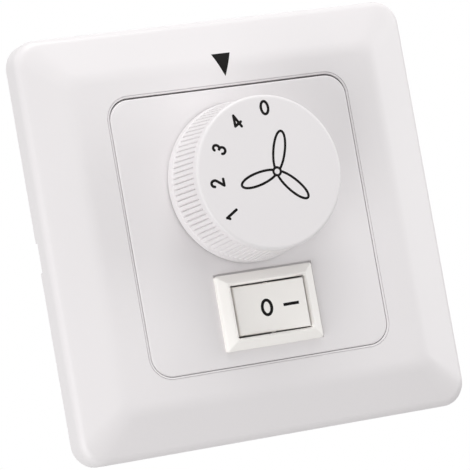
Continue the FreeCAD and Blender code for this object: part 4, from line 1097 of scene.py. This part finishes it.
class FANSWITCH_OT_rocker_marks(Operator):
    """Print the oval and the bar on the rocker"""
    bl_idname = "fanswitch.rocker_marks"
    bl_label = "Rocker marks"

    def execute(self, context):
        sizes = context.scene.fan_switch_print
        rocker = context.scene.fan_switch_rocker

        def on_rocker(p, lift):
            return rocker_point(rocker, p.x, rocker_axis.z + p.y, lift)

        mesh = printed("rocker_print", mark_polygons(sizes), on_rocker, sizes.ink)
        marks = new_object("rocker_print", mesh, black_ink())
        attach(marks, "rocker_set")
        return {"FINISHED"}


LAMPS = (
    # name, place, length of its side, property that holds its power
    ("top_light", (0, -0.30, 0.75), 0.5, "top_power"),
    ("left_light", (-0.60, -0.32, -0.34), 0.6, "left_power"),
    ("right_light", (0.75, -0.30, 0.10), 0.5, "right_power"),
)


def lamp(name, place, side, watts):
    """Soft square light that points at the switch."""
    data = bpy.data.lights.new(name, "AREA")
    data.shape = "SQUARE"
    data.size = side
    data.energy = watts
    piece = bpy.data.objects.new(name, data)
    piece.location = place
    piece.rotation_euler = (Vector((0, 0, 0)) - Vector(place)).to_track_quat("-Z", "Y").to_euler()
    bpy.context.scene.collection.objects.link(piece)


def camera_object(sizes):
    """Camera at the place and in the direction of the photo's."""
    data = bpy.data.cameras.new("camera")
    data.lens = sizes.lens
    data.sensor_width = 36.0
    data.clip_start = 0.01
    data.clip_end = 20.0
    camera = bpy.data.objects.new("camera", data)
    bpy.context.scene.collection.objects.link(camera)
    back = -Vector(sizes.look).normalized()
    right = Vector(sizes.up).cross(back).normalized()
    up = back.cross(right)
    turn = Matrix((right, up, back)).transposed().to_4x4()
    camera.matrix_world = Matrix.Translation(sizes.eye) @ turn
    return camera


def seen_rays(tree):
    """1 for the camera and for reflections, 0 for the rays that carry light to the switch."""
    path = tree.nodes.new("ShaderNodeLightPath").outputs
    value = path["Is Camera Ray"]
    for name in ("Is Glossy Ray", "Is Transmission Ray"):
        value = calculated("MAXIMUM", value, path[name])
    return value


def soft_sky(sizes):
    """World that looks white and gives an even light."""
    white = (1, 1, 1, 1)
    world = bpy.data.worlds.new("soft sky")
    world.use_nodes = True
    tree = world.node_tree
    lit = tree.nodes["Background"]
    fill(lit.inputs["Strength"], sizes.sky)
    fill(lit.inputs["Color"], white)
    seen = added(tree, "ShaderNodeBackground", {"Color": white})
    mix = added(tree, "ShaderNodeMixShader", {"Fac": seen_rays(tree)})
    fill(mix.inputs[1], lit.outputs["Background"])
    fill(mix.inputs[2], seen.outputs["Background"])
    fill(tree.nodes["World Output"].inputs["Surface"], mix.outputs["Shader"])
    return world


def floor_paint(sizes):
    """Matt pale paint, paler to the eye than in the light that it throws on the switch."""
    pale, paler = (0.80, 0.80, 0.80, 1), (0.83, 0.83, 0.83, 1)
    material, inputs, place = shader("pale floor")
    seen = seen_rays(material.node_tree)
    looks = tinted(noise(place, 4.0), pale, paler)
    fill(inputs["Base Color"], tinted(seen, (*sizes.floor_bounce, 1), looks))
    fill(inputs["Roughness"], 0.9)
    fill(inputs["Emission Color"], (1, 1, 1, 1))
    fill(inputs["Emission Strength"], calculated("MULTIPLY", seen, sizes.floor_glow))
    return material


def floor_mesh(sizes):
    """Large level square under the switch."""
    reach = 4.0
    level = cad_low.z - sizes.floor_drop
    corners = [(x * reach, y * reach, level) for x, y in ((-1, -1), (1, -1), (1, 1), (-1, 1))]
    mesh = bpy.data.meshes.new("floor")
    mesh.from_pydata(corners, [], [(0, 1, 2, 3)])
    return mesh


class FANSWITCH_OT_stage(Operator):
    """Set the camera, the soft light, the pale floor and the white background"""
    bl_idname = "fanswitch.stage"
    bl_label = "Stage"

    def execute(self, context):
        scene = context.scene
        sizes = scene.fan_switch_stage
        scene.camera = camera_object(sizes)
        scene.view_settings.view_transform = "Standard"
        scene.world = soft_sky(sizes)
        for name, place, side, key in LAMPS:
            lamp(name, place, side, getattr(sizes, key))
        floor = new_object("floor", floor_mesh(sizes), floor_paint(sizes))
        return {"FINISHED"}


STEPS = ("stage", "finishes", "cover", "panel", "knob", "dial", "rocker", "rocker_marks")


class FANSWITCH_PT_panel(Panel):
    """Lists the steps that build the switch"""
    bl_idname = "FANSWITCH_PT_panel"
    bl_label = "Fan speed switch"
    bl_space_type = "VIEW_3D"
    bl_region_type = "UI"
    bl_category = "Fan switch"

    def draw(self, context):
        for step in STEPS:
            self.layout.operator("fanswitch." + step)
        for name in GROUPS:
            self.layout.label(text=name.replace("_", " "))
            group = getattr(context.scene, name)
            for key in group.__annotations__:
                self.layout.prop(group, key)


CLASSES = (*GROUPS.values(), FANSWITCH_OT_stage, FANSWITCH_OT_finishes, FANSWITCH_OT_cover,
           FANSWITCH_OT_panel, FANSWITCH_OT_knob, FANSWITCH_OT_dial, FANSWITCH_OT_rocker,
           FANSWITCH_OT_rocker_marks, FANSWITCH_PT_panel)


def register():
    """Register the classes and the settings."""
    for item in CLASSES:
        bpy.utils.register_class(item)
    for name, group in GROUPS.items():
        setattr(bpy.types.Scene, name, PointerProperty(type=group))


def unregister():
    """Remove the settings and the classes."""
    for name in GROUPS:
        delattr(bpy.types.Scene, name)
    for item in reversed(CLASSES):
        bpy.utils.unregister_class(item)


def main():
    """Register the classes and settings, and build the switch."""
    register()
    for step in STEPS:
        getattr(bpy.ops.fanswitch, step)()


if __name__ == "__main__":
    main()
